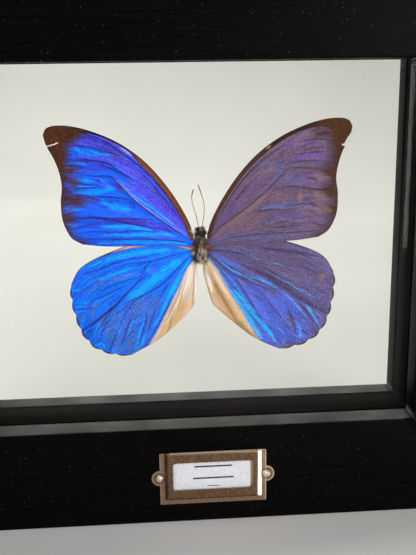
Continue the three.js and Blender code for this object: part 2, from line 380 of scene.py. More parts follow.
def satin_paint():
    """Black emulsion under a satin varnish, brushed on: a middling roughness and a weak gloss, drawn out
    along the grain, with dust on what looks up."""
    material, add = new_material("satin_black_paint")
    grain_place = add("ShaderNodeUVMap", uv_map="grain").outputs[0]
    stretch = (1 / GRAIN_LENGTH, 1 / GRAIN_WIDTH, 1)
    stretched = add("ShaderNodeMapping", {"Vector": grain_place, "Scale": stretch})
    grain = add(NOISE, stretched.outputs[0], 1.0, 4.0)
    coords = add(PLACE)
    cloud = add(NOISE, coords, DUST_CLOUDS, 5.0)
    speck_size = {"Vector": coords, "Scale": 1 / (DUST_SPECK * MM)}
    speck = add("ShaderNodeTexVoronoi", speck_size)
    pick = add("ShaderNodeSeparateColor", {"Color": speck.outputs["Color"]})
    near = add(SOFT_STEP, speck.outputs["Distance"], 0.16, 0.3, 1.0, 0.0)
    rare = add(SOFT_STEP, pick.outputs[0], 0.975, 0.992)
    spot = add(TIMES, near, rare)
    normal = add("ShaderNodeNewGeometry").outputs["Normal"]
    up = add("ShaderNodeSeparateXYZ", {"Vector": normal}).outputs[2]
    lying = add(SOFT_STEP, up, 0.35, 0.95)
    film = add(TIMES, lying, add(SOFT_STEP, cloud, 0.32, 0.72, 0.25, 0.5))
    along_grain = add(SOFT_STEP, grain, 0.3, 0.75)
    black = add(BLEND, along_grain, hue("#040304"), hue("#090708"))
    dusted = add(BLEND, film, black, hue("#84847f"))
    flecked = add(BLEND, add(TIMES, spot, 0.5), dusted, hue("#9a968d"))
    gloss = add(SOFT_STEP, grain, 0.25, 0.8, 0.4, 0.52)
    dull = add(PLUS, gloss, add(TIMES, film, 0.35), use_clamp=True)
    height = add(PLUS, grain, add(TIMES, cloud, 0.5))
    bump = add(BUMP, height, 0.25, 0.15 * MM)
    paint = add("ShaderNodeBsdfPrincipled", {
        "Base Color": flecked, "Roughness": dull, "Normal": bump})
    paint.inputs["Specular IOR Level"].default_value = 0.035
    add("ShaderNodeOutputMaterial", {"Surface": paint.outputs[0]})
    return material


black_paint = satin_paint()


# %% [markdown]
# ## The four members of the frame
#
# A frame-maker planes one long moulding and cuts it at 45 degrees. Its section is an L: a thick bar
# with a lip at the front, and the rabbet behind the lip takes the glass. The same can be done here:
# one closed profile of distance out from the opening and depth, with its corners eased, is carried
# along each side, and the mitre comes free because a point further out lies on a longer run.

# %% Mouldings
LIP_DEPTH = 10
RABBET = 7
MITRE_GAP = 0.1
BAR_RUNS = 36
SWAY = 0.03
SWAY_LENGTH = 31
GRAIN_SHIFT = 400


def solid_box(node_name):
    """The low and the high corner of a solid, in millimetres."""
    low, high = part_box(node_name)
    return np.array(low) / MM, np.array(high) / MM


rail_high = solid_box("rail_bottom")[1]
BACK = rail_high[1]
FRONT = -BACK
FACE = rail_high[2]
HALF_OPENING_X = rail_high[0] + MITRE_GAP - FACE
MIDDLE_Z = solid_box("rail_top")[1][2] / 2
HALF_OPENING_Z = MIDDLE_Z - FACE
print("opening", 2 * HALF_OPENING_X, "x", 2 * HALF_OPENING_Z, "mm, face", FACE, "mm")


def eased_loop(corners, radii, steps=5):
    """A closed polygon with each corner P replaced by (1-t)^2 A + 2t(1-t) P + t^2 B, where A and B
    lie one radius back along its two edges."""
    corners = np.asarray(corners, dtype=float)
    radii = np.asarray(radii, dtype=float)[:, None]
    before = np.roll(corners, 1, axis=0) - corners
    after = np.roll(corners, -1, axis=0) - corners
    start = corners + radii * before / np.linalg.norm(before, axis=1, keepdims=True)
    end = corners + radii * after / np.linalg.norm(after, axis=1, keepdims=True)
    t = np.linspace(0, 1, steps)[None, :, None]
    arcs = (1 - t) ** 2 * start[:, None] + 2 * t * (1 - t) * corners[:, None] + t ** 2 * end[:, None]
    return arcs.reshape(-1, 2)


def mitred_bar(name, side, loop, material, sway=0.0):
    """A profile of (distance out, depth) carried along one side of the opening.
    A point at distance d runs from -(half + d) to +(half + d), which cuts the mitre. sway is a slow
    wander of the surface, in millimetres."""
    level = side in ("top", "bottom")
    sign = 1 if side in ("top", "right") else -1
    halves = (HALF_OPENING_X, HALF_OPENING_Z)
    half_along, half_across = halves if level else halves[::-1]
    share = np.linspace(-1, 1, BAR_RUNS)[:, None]
    out, depth = loop[None, :, 0], loop[None, :, 1]
    along = share * (half_along + out - MITRE_GAP)
    wander = sway * np.sin(along / SWAY_LENGTH + 2 * sign) * np.sin(np.pi * (share + 1) / 2)
    across = sign * (half_across + out) + 0 * share
    y = depth + wander + 0 * along
    x, z = (along, MIDDLE_Z + across) if level else (across, MIDDLE_Z + along)
    points = np.stack(np.broadcast_arrays(x, y, z), -1)
    faces = grid_faces(*points.shape[:2], around=True)
    faces += end_caps(*points.shape[:2])
    if level == (sign > 0):
        faces = [face[::-1] for face in faces]
    steps = np.linalg.norm(np.diff(np.vstack([loop, loop[:1]]), axis=0), axis=1)
    girth = np.concatenate([[0], np.cumsum(steps)[:-1]])
    uv = np.stack(np.broadcast_arrays(along + GRAIN_SHIFT * sign, girth[None, :]), -1)
    return make_piece(name, points.reshape(-1, 3), faces, material, uv.reshape(-1, 2))


member_loop = eased_loop(
    [(0, FRONT), (FACE, FRONT), (FACE, BACK), (RABBET, BACK),
     (RABBET, FRONT + LIP_DEPTH), (0, FRONT + LIP_DEPTH)],
    [1.1, 1.4, 1.4, 0.6, 0.2, 0.3])
MEMBERS = {"rail_top": "top", "rail_bottom": "bottom", "stile_left": "left", "stile_right": "right"}


def carry(piece, slot, *nodes):
    """Makes a piece stand for its CAD nodes and ride with the frame. slot is not used."""
    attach(piece, "root")
    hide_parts(*nodes)
    print(piece.name, len(piece.data.polygons), "faces")


for node_name, side in MEMBERS.items():
    member = mitred_bar("painted_" + node_name, side, member_loop, black_paint, sway=SWAY)
    carry(member, "frame_paint", node_name)


# %% [markdown]
# ## Strips inside the frame
#
# Between the panes runs a black liner board that hides the wood and keeps the glass apart. Behind
# the back pane a painted strip holds it in. Both are plain mitred bars, so the moulding's function
# makes them too. The board is a pressed fibre with a matt, slightly brown black.

# %% Liner and back strips
BOARD_FIBRES = 900.0
BOARD_CLOUDS = 60.0


def liner_board():
    """Dyed fibre board: matt, brownish black, with short fibres pressed into it."""
    material, add = new_material("black_liner_board")
    coords = add(PLACE)
    fibres = add(NOISE, coords, BOARD_FIBRES, 3.0)
    cloud = add(NOISE, coords, BOARD_CLOUDS, 3.0)
    clouded = add(SOFT_STEP, cloud, 0.3, 0.7)
    tone = add(BLEND, clouded, hue("#070506"), hue("#0e0a09"))
    bump = add(BUMP, fibres, 0.3, 0.1 * MM)
    board = add("ShaderNodeBsdfPrincipled", {
        "Base Color": tone, "Roughness": 0.75, "Normal": bump})
    board.inputs["Specular IOR Level"].default_value = 0.02
    add("ShaderNodeOutputMaterial", {"Surface": board.outputs[0]})
    return material


black_board = liner_board()


def strip_loop(node_name, ease):
    """The eased rectangle of a strip, read from its solid: from the opening out, front to back."""
    low, high = solid_box(node_name)
    thick = high[2] - low[2]
    return eased_loop([(0, low[1]), (thick, low[1]), (thick, high[1]), (0, high[1])], [ease] * 4, 4)


liner_loop = strip_loop("spacer_bottom", 0.2)
stop_loop = strip_loop("back_stop_bottom", 0.7)
for side in ("top", "bottom", "left", "right"):
    liner = mitred_bar("liner_" + side, side, liner_loop, black_board)
    carry(liner, "black_liner", "spacer_" + side)
    strip = mitred_bar("painted_stop_" + side, side, stop_loop, black_paint, sway=SWAY)
    carry(strip, "frame_paint", "back_stop_" + side)


# %% [markdown]
# ## Glass
#
# Each pane is 2 mm of clear museum glass. Its coating cuts a reflection to under one part in a
# hundred, so the refractive index is set lower than plain glass's 1.5 until the mirror image is as
# weak as that. A real pane also lets light straight through to what is behind it. Rendering that by
# refraction is slow and noisy, so shadow rays pass through a plain transparent shader.

# %% Pane glass
COATED_IOR = 1.16


def pane_glass():
    """Clear coated glass: refraction for what is seen, plain transparency for light passing in."""
    material, add = new_material("coated_pane_glass")
    glass = add("ShaderNodeBsdfPrincipled", {
        "Base Color": hue("#fbfdfc"), "Roughness": 0.0, "IOR": COATED_IOR, "Transmission Weight": 1.0})
    clear = add("ShaderNodeBsdfTransparent", {"Color": hue("#fafcfb")})
    shadow = add("ShaderNodeLightPath").outputs["Is Shadow Ray"]
    mixed = add("ShaderNodeMixShader", {0: shadow, 1: glass.outputs[0], 2: clear.outputs[0]})
    add("ShaderNodeOutputMaterial", {"Surface": mixed.outputs[0]})
    return material


clear_glass = pane_glass()


def refinish(node_name, material):
    """Gives a solid that keeps its shape its real finish."""
    solid = CAD_NODES[node_name]
    solid.data.materials.clear()
    solid.data.materials.append(material)
    return solid


for node_name in ("glass_front", "glass_back"):
    refinish(node_name, clear_glass)


# %% [markdown]
# ## The wings' outlines
#
# A butterfly's wing is a fan: veins start at the root and run out to the margin. So a wing is
# drawn by four edges (root, leading edge, trailing edge and outer margin) and filled as a Coons
# patch, whose lines across the wing then follow the veins by themselves. Each point below is the
# distance out from the body's axis and the height above the wing root.

# %% Four edges of each wing
FOREWING = {
    "leading": [(3, 4.6), (5.2, 11), (10.5, 20.8), (17.5, 30.6), (25.5, 38.9), (35, 45.5), (45, 49.9),
                (53, 52), (59, 52.4), (62.7, 51.4), (64.2, 48.8)],
    "outer": [(50.5, 2.7), (54.6, 5.4), (57, 9.5), (58.4, 14.5), (58.5, 21.5), (57.8, 27.5), (58.6, 33.5),
              (60.4, 39), (63.1, 44.4), (64.2, 48.8)],
    "trailing": [(3, -0.8), (12, 0.1), (25, 0.8), (40, 1.3), (50.5, 2.7)],
}
HINDWING = {
    "leading": [(3, -1.2), (10, 1.1), (21, 2.4), (30, 1.5), (40, -1.7), (48, -5.1), (53, -8.8),
                (56.4, -15)],
    "outer": [(32, -48.6), (40.5, -47), (47.6, -43.4), (52.4, -37), (55, -29), (56.4, -21), (56.4, -15)],
    "trailing": [(1.7, -8.2), (1.5, -11), (1.6, -18.5), (2.4, -24.5), (3.5, -27.5), (6.3, -31),
                 (13, -37.2), (21, -43), (32, -48.6)],
}
RIGHT_FOLD = [(0.75, -8.4), (0.5, -10.4), (0.7, -13.5), (1.7, -18.7), (3.4, -25.5), (4.6, -27.6),
              (7.4, -30.4), (11.8, -34.8), (17, -39.4), (23, -44), (32, -48.6)]
SCALLOPS = 7
SCALLOP_DEPTH = 0.9
RISE = np.radians(6)
BODY_X = 2.5
ROOT_Y = 2.9
ROOT_Z = 120
STAGGER = 0.45


def coons(edges, rows, columns, scallops=0):
    """The Coons patch of four edges: (1-v) trailing + v leading + (1-u) root + u outer, less the
    bilinear mix of the corners. Rows run out from the root (u), columns up from the trailing edge
    (v). Scallops push the outer edge out by depth * (|sin(pi n v)| - 1/2)."""
    u = np.linspace(0, 1, rows)[:, None, None]
    v = np.linspace(0, 1, columns)[None, :, None]
    leading = even_spline(edges["leading"], rows)[:, None]
    trailing = even_spline(edges["trailing"], rows)[:, None]
    outer = even_spline(edges["outer"], columns)[None]
    if scallops:
        wave = np.abs(np.sin(np.pi * scallops * v)) - 0.5
        outer = outer * (1 + SCALLOP_DEPTH * wave / np.linalg.norm(outer, axis=-1, keepdims=True))
        outer[0, 0], outer[0, -1] = edges["outer"][0], edges["outer"][-1]
    root = (1 - v) * trailing[:1] + v * leading[:1]
    corners = ((1 - u) * (1 - v) * trailing[:1] + (1 - u) * v * leading[:1]
               + u * (1 - v) * trailing[-1:] + u * v * leading[-1:])
    return (1 - v) * trailing + v * leading + (1 - u) * root + u * outer - corners


def place_wing(flat, lift, side, turn, size):
    """Flat wing places and a lift towards the viewer become points in the frame.
    The wing is turned and sized about its root, then its plane rises forwards by RISE."""
    angle = np.radians(turn)
    out = size * (flat[..., 0] * np.cos(angle) - flat[..., 1] * np.sin(angle))
    up = size * (flat[..., 0] * np.sin(angle) + flat[..., 1] * np.cos(angle))
    x = BODY_X + side * (out * np.cos(RISE) - lift * np.sin(RISE))
    y = ROOT_Y - out * np.sin(RISE) - lift * np.cos(RISE)
    return np.stack([x, y, ROOT_Z + up], -1)


# %% [markdown]
# ## Veins, folds and streaks
#
# The membrane is stretched over stiff tubes, so the veins stand proud and the cloth between them
# sags a little. The colours follow the same map: dark lines on the veins, violet in the cell, azure
# streaks between the outer veins (painted highlights), brown along the leading edge and at the tip,
# and a silky cream fold beside the body, with painted highlights on its folds and painted shade in
# its creases. No two wings are alike, so each has its own list of brush strokes. A stroke is one
# line of text: its half-width, a colon and its strength where that isn't 1, and the points it runs
# through.

# %% Brush strokes of the left wings
FOREWING_LEFT = {
    "lead": [2.2, 2.2, 0.8, 0.7, 1.1, 2.2, 4, 6, 8],
    "margin": [0, 0.1, 0.4, 1.4, 0.3, 1.6, 2.2, 1.2, 2.4, 3.4, 5.0, 7.0, 9.5, 13, 17, 19],
    "vein": """
.35 4.4,5.6 6.2,9.3 11.5,18 16.7,25.8 22.4,32.5 28,37.4 34,42 40,46 46,48.4 53,49.4
.42 3.6,2.1 7.2,4.8 11.7,7.7 20,14.2 27.3,20.2 31.6,25 36.6,30.6 40,31.4 44.5,31.4 48,31.9
.3 31.6,39 39.7,41.6 46,43.6 52.2,44.4
.35 33.4,33 36,35.1 40,37 46.4,38.1 56.7,38.6
.4 29,30 32.7,32.1 35.6,33.7 40,36.1
.3 41.6,28.9 43.7,30.2
.35 42.5,27.8 47,28 50,28.8 55,29.6
.25 40.3,27 45,26.9 50,26.7 54,26.2
.3 27.6,20.5 33.7,22 40.5,22.8 49.4,22.8
.28 19.2,12 26.7,12.7 38.5,13.5 50,14.2
.35 4.8,1.2 8.8,2.1 21,3.6 30,4.2 39,4.8 50,5.4
.25 18,6.6 27.8,7.7 36,7.4 45,8.2 54,7.4
""",
    "dark": """
.7 11.8,6.2 16.3,7.7 22.3,9 27.7,10.3 34.2,11.8 44,14 51.3,14 56,13
.4 29,30 32.5,32.3 36,34.3
.3 47.7,35 51.4,35.2 54.2,36 56.7,37
.6 9,12 17,23 24,31
.5 42,21 49,23.6 55,24
.4 44,11 50,10.4 55,9.4
""",
    "violet": """
4 8,9.4 11.6,15.1 17.4,22.5 23.8,28.1 30,35
3:.8 12,12 18,18 24,23 30,28
3 31.6,40 37.4,43.5 41.7,45.8 46,46.4 50.4,45.4
3:.7 38,36 44,38 50,38
2.2:.6 14,5 22,7.6 32,10.6
.8 36.2,33.8 42.2,34.2 46.6,33.9 49.8,32.7
2 31.7,37.8 38,39.1
1.3 13.3,7.5 20.8,10.3 29.7,11.9 38.5,12.9
1.2 33,25 35.8,28
.5 28.6,1.7 34.5,2.7 39,3
.6 53.7,25.5 57,25.4
""",
    "light": """
1.2:.65 37.5,40 42,40.6 47.4,41.4 51,42.8 54.4,43
.5 46.5,36.1 51,37 54.8,37
.5 51,34 54,34.8 56.4,35.8
.9:.65 43.6,29.1 46.8,29.7 50,30.3 52.5,30.1
.4 43.6,27.4 48,27.3 52.4,27.9 55.7,28.7
1.6:.7 36,26 42.6,25 48.2,24.8 53.3,24.5
1.8:.7 29.5,16.4 34,17.8 41.7,20
1.1 20.8,7.3 26.8,8.8 32.8,9.6 42,10
.8 10.3,4.3 14.8,5.4 24,5.9 33,6.2 42,6.6
1.1 5.8,.7 15,2.1 24,2.5 31.5,2.9 44,3
.35:.7 6.9,5.7 11.1,9.2 15.8,13.1 20,16.6 23.5,19.2 27.8,22.6 33.5,28.2
.5 52,11 54.4,11.4 57,12
.7 50,17.6 54,17.8 57,18.4
""",
    "dull": """
1.7 42.8,21.4 49.5,21.3 56,20.8
.5 27.2,38.5 31.5,41.3 34.3,43.6 39,46.6
1.2 48,47 51.4,47.6 55,47.9
1.2 54.5,40 55.5,42.5 54,45
1.6:.8 46,20.6 50,22.6 55,23
.9:.8 30,37 36,40.4 44,43.6
.4:.9 13,17 22,27 30,34
""",
    "brown": """
1:.8 54.5,22.2 56,22.4 59,22.4
.5:.6 51,21.2 54,21 58,20.4
1.2 55.5,14 57,13.8 60,13.4
.8 53,29.4 58,31
.9 53.4,34 57,34.4 60,34.8
""",
    "tan": """
.16:.35 4.2,6.2 11,18.6 16.2,26.4 22,33.1 27.3,38
.16:.7 4.2,2.9 17.5,12.6 27.4,21 36.4,30.7
""",
    "silk": """
.28:.5 28.5,39.4 31,41.4 33,42.9
""",
}
HINDWING_LEFT = {
    "lead": [1.6, 2.2, 1.9, 0.6, 0.4, 0.3, 0.2, 0.1, 0.1],
    "vein": """
.32 4,-2.8 7.2,-3.1 14,-4.4 19.7,-5.8 23.4,-6.2 32.7,-7 40.1,-9.2
.3 21.5,-6.5 23.8,-8.2 24.8,-10.9
.28 25.5,-12.7 30.7,-13.6 35.2,-14.8 42.7,-17.4
.45 23.2,-11.7 27.4,-14.9 35.5,-22.9 42.4,-28.6 49.3,-33.6 53,-36
.4 4,-4.6 7.7,-7.6 13.5,-13.8 19.6,-18.1 26.5,-21.5 32,-23.5
.3 13.5,-15 16.7,-20.6 18.7,-24
.3 36,-24 41,-29 47.5,-38
.4 37.6,-37.6 39.2,-41 40.5,-44.5 41,-47.6
""",
    "dark": """
.6 17.7,-3.3 23.3,-4.1 30.7,-4.8 36.3,-6 42.6,-8 51.8,-10.8
.5 27.4,-14.9 38.6,-25.8 45.5,-31.1 52.7,-35.3
.6 13,-22 15.4,-28.1 21,-38 26.6,-46.7
.3 47.5,-34.5 51,-37.4
.4 33,-16.5 42,-20.5 50,-23.6
.35 46,-25.8 55,-26
.4 29,-23 34,-30 37,-37
.5 24,-30 26,-37 28.6,-45
.4 20,-27 22.6,-34 25.6,-42
.5 31,-31 34,-38 36,-44
.4 40,-30.6 44,-36.6 45,-41
""",
    "violet": """
1 49.6,-16.6 54.9,-21.7
.9 53.3,-11.1 56.4,-14.7
.8 47.4,-9.6 51.1,-10.5
1.6 19.4,-9.3 21.7,-10.3
.8 49,-42.3 52.4,-35.7
1 25,-44.5 26.6,-46.7
.6 8,-5.4 16,-8.5
.7 8.6,-10.4 15,-18.5
""",
    "light": """
1.1 14,-1.6 21.4,-1.9 28.8,-2.7 36.2,-3.8 42.5,-5.3 48,-7.2
1.1 5,-7 8.6,-12 11.6,-18 14.4,-23.4 17.8,-30.2 21,-36
2.3:.85 10.3,-7.1 18,-12.8 25.2,-18.4 30.4,-21.4
.8 28,-8.6 36,-10.6 44,-13
.35 36.8,-18.6 42.5,-21.7 48,-22.9 53.6,-23.7
.3 50,-25 55.8,-24.7
.3 50.1,-26.6 55.6,-27.4
.4 50.9,-28.8 52.1,-31.1 53.4,-34.1
.5 44.1,-32 46.4,-35.4 47.7,-39.2
.6 52.1,-16.9 55.8,-17.8
.5 47.9,-43.1 44.5,-42.2 42.4,-45.5
.6 33.5,-29.2 35.1,-32.6 36.8,-37.6
.4 29.8,-31 31.5,-34.9 33.2,-39.5
.7 25,-31.4 26.2,-35.2 28.3,-41 30.4,-46.1
.8 22.4,-33.9 26.5,-42.4 32,-49
.3 17.8,-34.3 20,-38.5 22.6,-42.3
""",
    "dull": """
4.5 27,-26 32,-31 33,-38 31,-44
3.5:.8 37,-30 40,-36 38.5,-42
2.6:.8 20,-24 23,-31 26,-38
1.9:.8 40,-28 44.1,-32 42,-36.1 41,-42
1.6:.6 44,-24 48.2,-26.7 47.3,-30.5
1.5:.5 30,-12 38,-14 45.8,-13.8 44,-15.5 50,-19.4
1 52.7,-28.7 54,-31.7
.8 19.8,-23.5 21.1,-27.7
1.4 36.4,-44.4 37.2,-47.5
.7 26,-10.8 33,-12.3 38,-13.1 44,-15.1
""",
    "tan": """
3 8.4,-27 11,-33 15,-39 19,-44
1 12.4,-28 15.8,-35 19.6,-41.6
""",
    "silk": """
1.7:.8 4.2,-9.4 5.9,-15.5 8,-21
.45 2.1,-10 2.2,-18 2.8,-25
.5:.6 8.6,-21 12,-28 16,-35
""",
    "rose": """
1 3.6,-22 5.6,-28 9,-33
""",
    "crease_shade": """
.35 11.6,-27.6 13.6,-32.2 14.5,-37.2 16.5,-39.5
.35 2.6,-8.6 3,-15.7 3.6,-25.1 4.3,-29
.22 6,-13 8.6,-22 11,-31
.22 8.2,-17 12,-26 16,-34
""",
}


# %% Brush strokes of the right wings
FOREWING_RIGHT = {
    "lead": [1.6, 1.9, 1.9, 1.7, 1.9, 2.4, 3.4, 5, 8],
    "margin": [0, 0.1, 0.4, 1.4, 0.6, 1.6, 2.0, 1.6, 1.6, 2.6, 4.0, 5.5, 7.0, 9, 12, 15],
    "vein": """
.3 3.9,4.4 8.9,13.2 13.4,20.5 17.8,26.9 26.5,35.3 36,42.2 43,46.6
.42 3.6,2.6 5.7,4.8 11,9.2 17.6,13.9 26.4,20.7 34.1,28.3 37.1,31.2
.25 36.3,33.8 39.3,34.6 47.8,35.2 56,34.4
.25 38.4,32.3 43.5,32.4 48.6,32.1 54,30.5
.25 31,24 38,24.6 46,23.8 56,22.4
.22 19.6,14 28,14.6 42,15
.22 5,1.4 16,3.4 30,4.6 48,5.2
""",
    "dark": """
.35 43.5,39.2 49,40.3 54.1,40.2
.5 45.3,28.1 47.8,27.6 50,27.1
.4 43.6,23.4 52.1,22.8 56.4,22.3
.6 36,16.4 43.6,16.9 47.9,16.8 52.2,14.5 56.6,12.7
.5 48,8.9 51.4,7.5 53.2,6.6
.4 30.6,7 37.1,7.3 42.8,7.7
.35 40,37.4 47,38.6 53,38.8
.5 12,14.6 21,25.6 29,32.4
.4 44,43 50,44 55,43.4
""",
    "violet": """
1 38.8,35.5 43.5,36.6 47.8,37.2 51.6,38.2
2.6:.5 9,9 13,14.6 20,21.6 27.3,28.5
3:.5 36,42 44,43 50,42
1.4:.5 33,12.4 44,12.8
""",
    "light": """
.45:.6 24.8,34.5 30.7,34.4 35,33.4 36,32.6
1.5:.4 24.4,34.5 35,33.9
1.8:.5 26.4,15.1 37.1,16.5 46.8,16.4
2:.35 34.1,28.7 43.7,27.6
1.2:.35 36.9,34.4 45.5,35.2 54.1,34.2
.8 34.4,33.4 36.1,32.6
.7:.7 29.8,25.8 32.4,28.3 35.8,31.7
1.4:.45 38,30 41,27.6
.3 41,25.6 44,25.5
.4 55.1,25.7 57.2,25.3
.3 51.2,28.8 54.7,27.5
.6:.5 32.4,15.8 37.1,16.4 42,16
1.6:.45 4.4,1.6 17,3 28,3 44,3.8
1.2:.35 24,9 34,10 46,10
.35 53,17.4 57.4,17
.3 44,20.8 47,21
""",
    "dull": """
1.2 49,29 52,26.2
1.1 42.7,20.2 42.8,19.2
1.8 47,19.6 52,18.6
2 14,7.6 18.4,9.5 24.5,11.1
.3 6.1,3.7 13.2,8.2 19.8,13.4 26.3,18.5 30.7,23.2 34.6,28.3
.4 25,30 31,32.2
1.4 40,40.6 44,43
1.6 30,20 38,21
""",
    "brown": """
1.9 55.2,30.4 57,30.6 60,31
1.2:.9 55.5,31.6 58.5,28
2.5 56,22.8 58,22.4 61,22
2 57,14 59,14 61,14
.8 57,37 59,37.6 62,38
.4 50,46.6 56,46.8
""",
    "tan": """
.3 28.6,40.3 30.3,41.5
.14:.3 6,10 14,22.6 22,32.8 28,38
""",
    "rose": """
1.4:.3 42.8,21.8 42.9,18.4
1.5:.24 48.6,21.7 54.4,18.8
1.6:.24 47.7,14.9 53,14.2 56,13.9
1.5:.22 48.5,29 55,27.8
1.4:.15 5.8,3.2 14.7,10.3 24.5,18.1 29.3,22.9
.2:.5 3.9,4.2 12.8,9.6 20.6,15.2 28.3,22
1.4:.14 20.6,25.9 26.4,29.7 32.1,32
.2:.5 23.5,29.7 31.2,32.3
1:.12 29.2,39.2 36.8,43.4 44.3,45.9 51.9,47
""",
}
HINDWING_RIGHT = {
    "lead": [0.9, 0.7, 0.6, 0.5, 0.4, 0.3, 0.2, 0.1, 0.1],
    "vein": """
.28 3.5,-4.2 7.1,-7.5 13.4,-13.4 18.2,-16 25,-19.5 32.3,-21.5
.28 13.4,-13.4 17.3,-20.4 21.5,-28.2 25,-36
.22 22.8,-18.2 29.3,-28.2 36.7,-38.3
.3 4.6,-4.6 14.6,-11.9 25.9,-18 33.4,-21.4
.28 4,-2.4 7,-2.8 13.1,-3.7 20.7,-5.3
.22 24.6,-9.4 27,-11.6 38,-18.2
""",
    "dark": """
1.4 17,-9.8 25.3,-14 32.8,-19 39.5,-24.4 46.2,-29.2 52.6,-33
.9 26,-2.8 32.2,-4.1 37.8,-4.8 43.5,-6.3 53.7,-8.4
.6 36.2,-30.6 37.6,-34.3 39,-39.3 39.7,-42.6
.5 42.1,-40.2 44.7,-42.8
.5 40.2,-27.1 42.8,-30.1 49.1,-39.4
.5 46,-20 54,-25
""",
    "violet": """
8 22,-24 27,-32 31,-40
5 12,-16 17,-25 22,-33 27,-42
6 33,-28 37,-34 41,-40
1.6:.7 4,-4 10,-7.6 18,-11
1:.5 44,-12 48,-13
""",
    "light": """
.5:.75 5.3,-5.5 10.1,-9.3 14.6,-12.6 20.2,-15.3 25.9,-17.2 29.7,-19
.5:.6 22,-16.2 29,-19.4 33,-21.2
.4:.7 35,-23.4 39.4,-28.3 44.6,-35.1
.6:.7 44,-28.9 46.2,-32.3 49.9,-39.8
.22:.6 47.8,-32 51.5,-36.2
.35:.5 24.7,-10 28.4,-13.4 35.5,-18.1 43,-23.7
.25:.4 26.2,-8.9 31.9,-10 35.7,-11.8
.25:.5 21,-5.5 24,-8 24.7,-9.6
.7:.4 37.4,-19 44.9,-24.2 48.6,-27.6
.6 3.4,-5.9 8.3,-14.5 12.9,-23.6
1.5 12,-21 16.2,-29 20.8,-37 24.2,-43.4
1.2 13.4,-20.6 18,-27 21.6,-32 27.5,-40.3 30.4,-45
.8:.5 30.1,-36.8 34.6,-42.3
.6:.5 33.3,-46.8 35,-43.2
.7:.6 40.2,-36.9 41.3,-41 40.8,-45.1
.25 7,-9.6 13.6,-18 21,-30
""",
    "dull": """
3.6 24,-2.6 32.1,-6.6 40,-9 47,-13.4 52,-20
2.4 12,-2 24,-6 34,-11
2 46,-22 52,-27
.7 36,-33 39,-41
""",
    "tan": """
2.6 6.3,-18.2 9.4,-28 15,-37 19.6,-43
.8 13,-26 18,-35
1.3:.4 50.6,-16.4 52.4,-17
""",
    "silk": """
1.1:.9 1.9,-9.5 2.6,-15.1 3.8,-21
.7:.5 5.2,-12 8,-18.6 11,-24
""",
    "rose": """
.7 3.6,-8.4 7.4,-15.8 12.2,-25.4 16,-34
.6:.8 5.8,-9.8 9.2,-18 14.6,-29 20.2,-39.4
1 5,-24 9,-30
""",
    "crease_shade": """
.3 .6,-9.5 .8,-13 1.9,-19 3.4,-25 4.6,-27.6 7.4,-30.4 11.8,-34.8 17,-39.4
.8:.45 2.9,-12.6 5.4,-17.1 7.5,-22.1 11.3,-29.8 14,-35
1.1:.6 12.6,-34.4 16,-38 19.6,-41.4
.45 15.4,-35 18.6,-40 21,-42.6
.9:.6 14.6,-36.4 19.4,-40.8 22.6,-43.4
.3 12,-33 15,-38.6
""",
}
STROKE_END = 0.35
NARROW = 2
FAR_AWAY = 99.0
STROKE_KINDS = ("vein", "dark", "violet", "light", "dull", "tan", "silk", "rose", "crease_shade")


# %% Reading the strokes
def strokes(text):
    """Each line of text is a half-width, its strength after a colon, and the points it runs through."""
    found = []
    for first, *places in (line.split() for line in text.strip().splitlines()):
        width, _, strength = first.partition(":")
        points = [tuple(map(float, place.split(","))) for place in places]
        found.append((float(width), float(strength or 1), points))
    return found


def stroke_zone(places, marks):
    """The strongest stroke at each place and the least distance to any stroke in millimetres.
    A stroke is strength * exp(-(distance / half-width)^2), and the half-width of a narrow one thins
    towards both ends as STROKE_END + (1 - STROKE_END) sin(pi along)."""
    shown = np.zeros(places.shape[:-1])
    nearest = np.full(places.shape[:-1], FAR_AWAY)
    for width, strength, points in marks:
        far, _, along = distance_to_line(places, spline(points, 3 * len(points)))
        thin_end = STROKE_END if width < NARROW else 1
        thinned = width * (thin_end + (1 - thin_end) * np.sin(np.pi * along))
        shown = np.maximum(shown, strength * np.exp(-(far / thinned) ** 2))
        nearest = np.minimum(nearest, far)
    return shown, nearest


def margins(flat, edges):
    """How far each place lies inside the leading edge and inside the outer margin."""
    lead = distance_to_line(flat, spline(edges["leading"], 70))[0]
    outer = distance_to_line(flat, spline(edges["outer"], 60))[0]
    return lead, outer


# %% Zones of a wing
CREAM_LINE = [(2.2, -5.2), (6.2, -11.2), (9, -17.4), (12.2, -23.4), (16.4, -31.4), (20, -38.4),
              (23.6, -44.4), (27, -49.5)]
BROWN_HEIGHTS = [4, 8, 11, 14, 17, 20, 24, 28, 33, 37, 41, 44, 46, 48, 50, 53]
LEAD_DISTANCES = [3, 26, 29, 40, 46, 50, 54, 58, 64]
REACH = {"forewing": 60, "hindwing": 80}
NOWHERE = -20.0
VEIN_HEIGHT = 0.13
SAG_DEPTH = 0.3
SAG_WIDTH = 2.2
FOLD_BULGE = 0.7
FOLD_WIDTH = 4.5


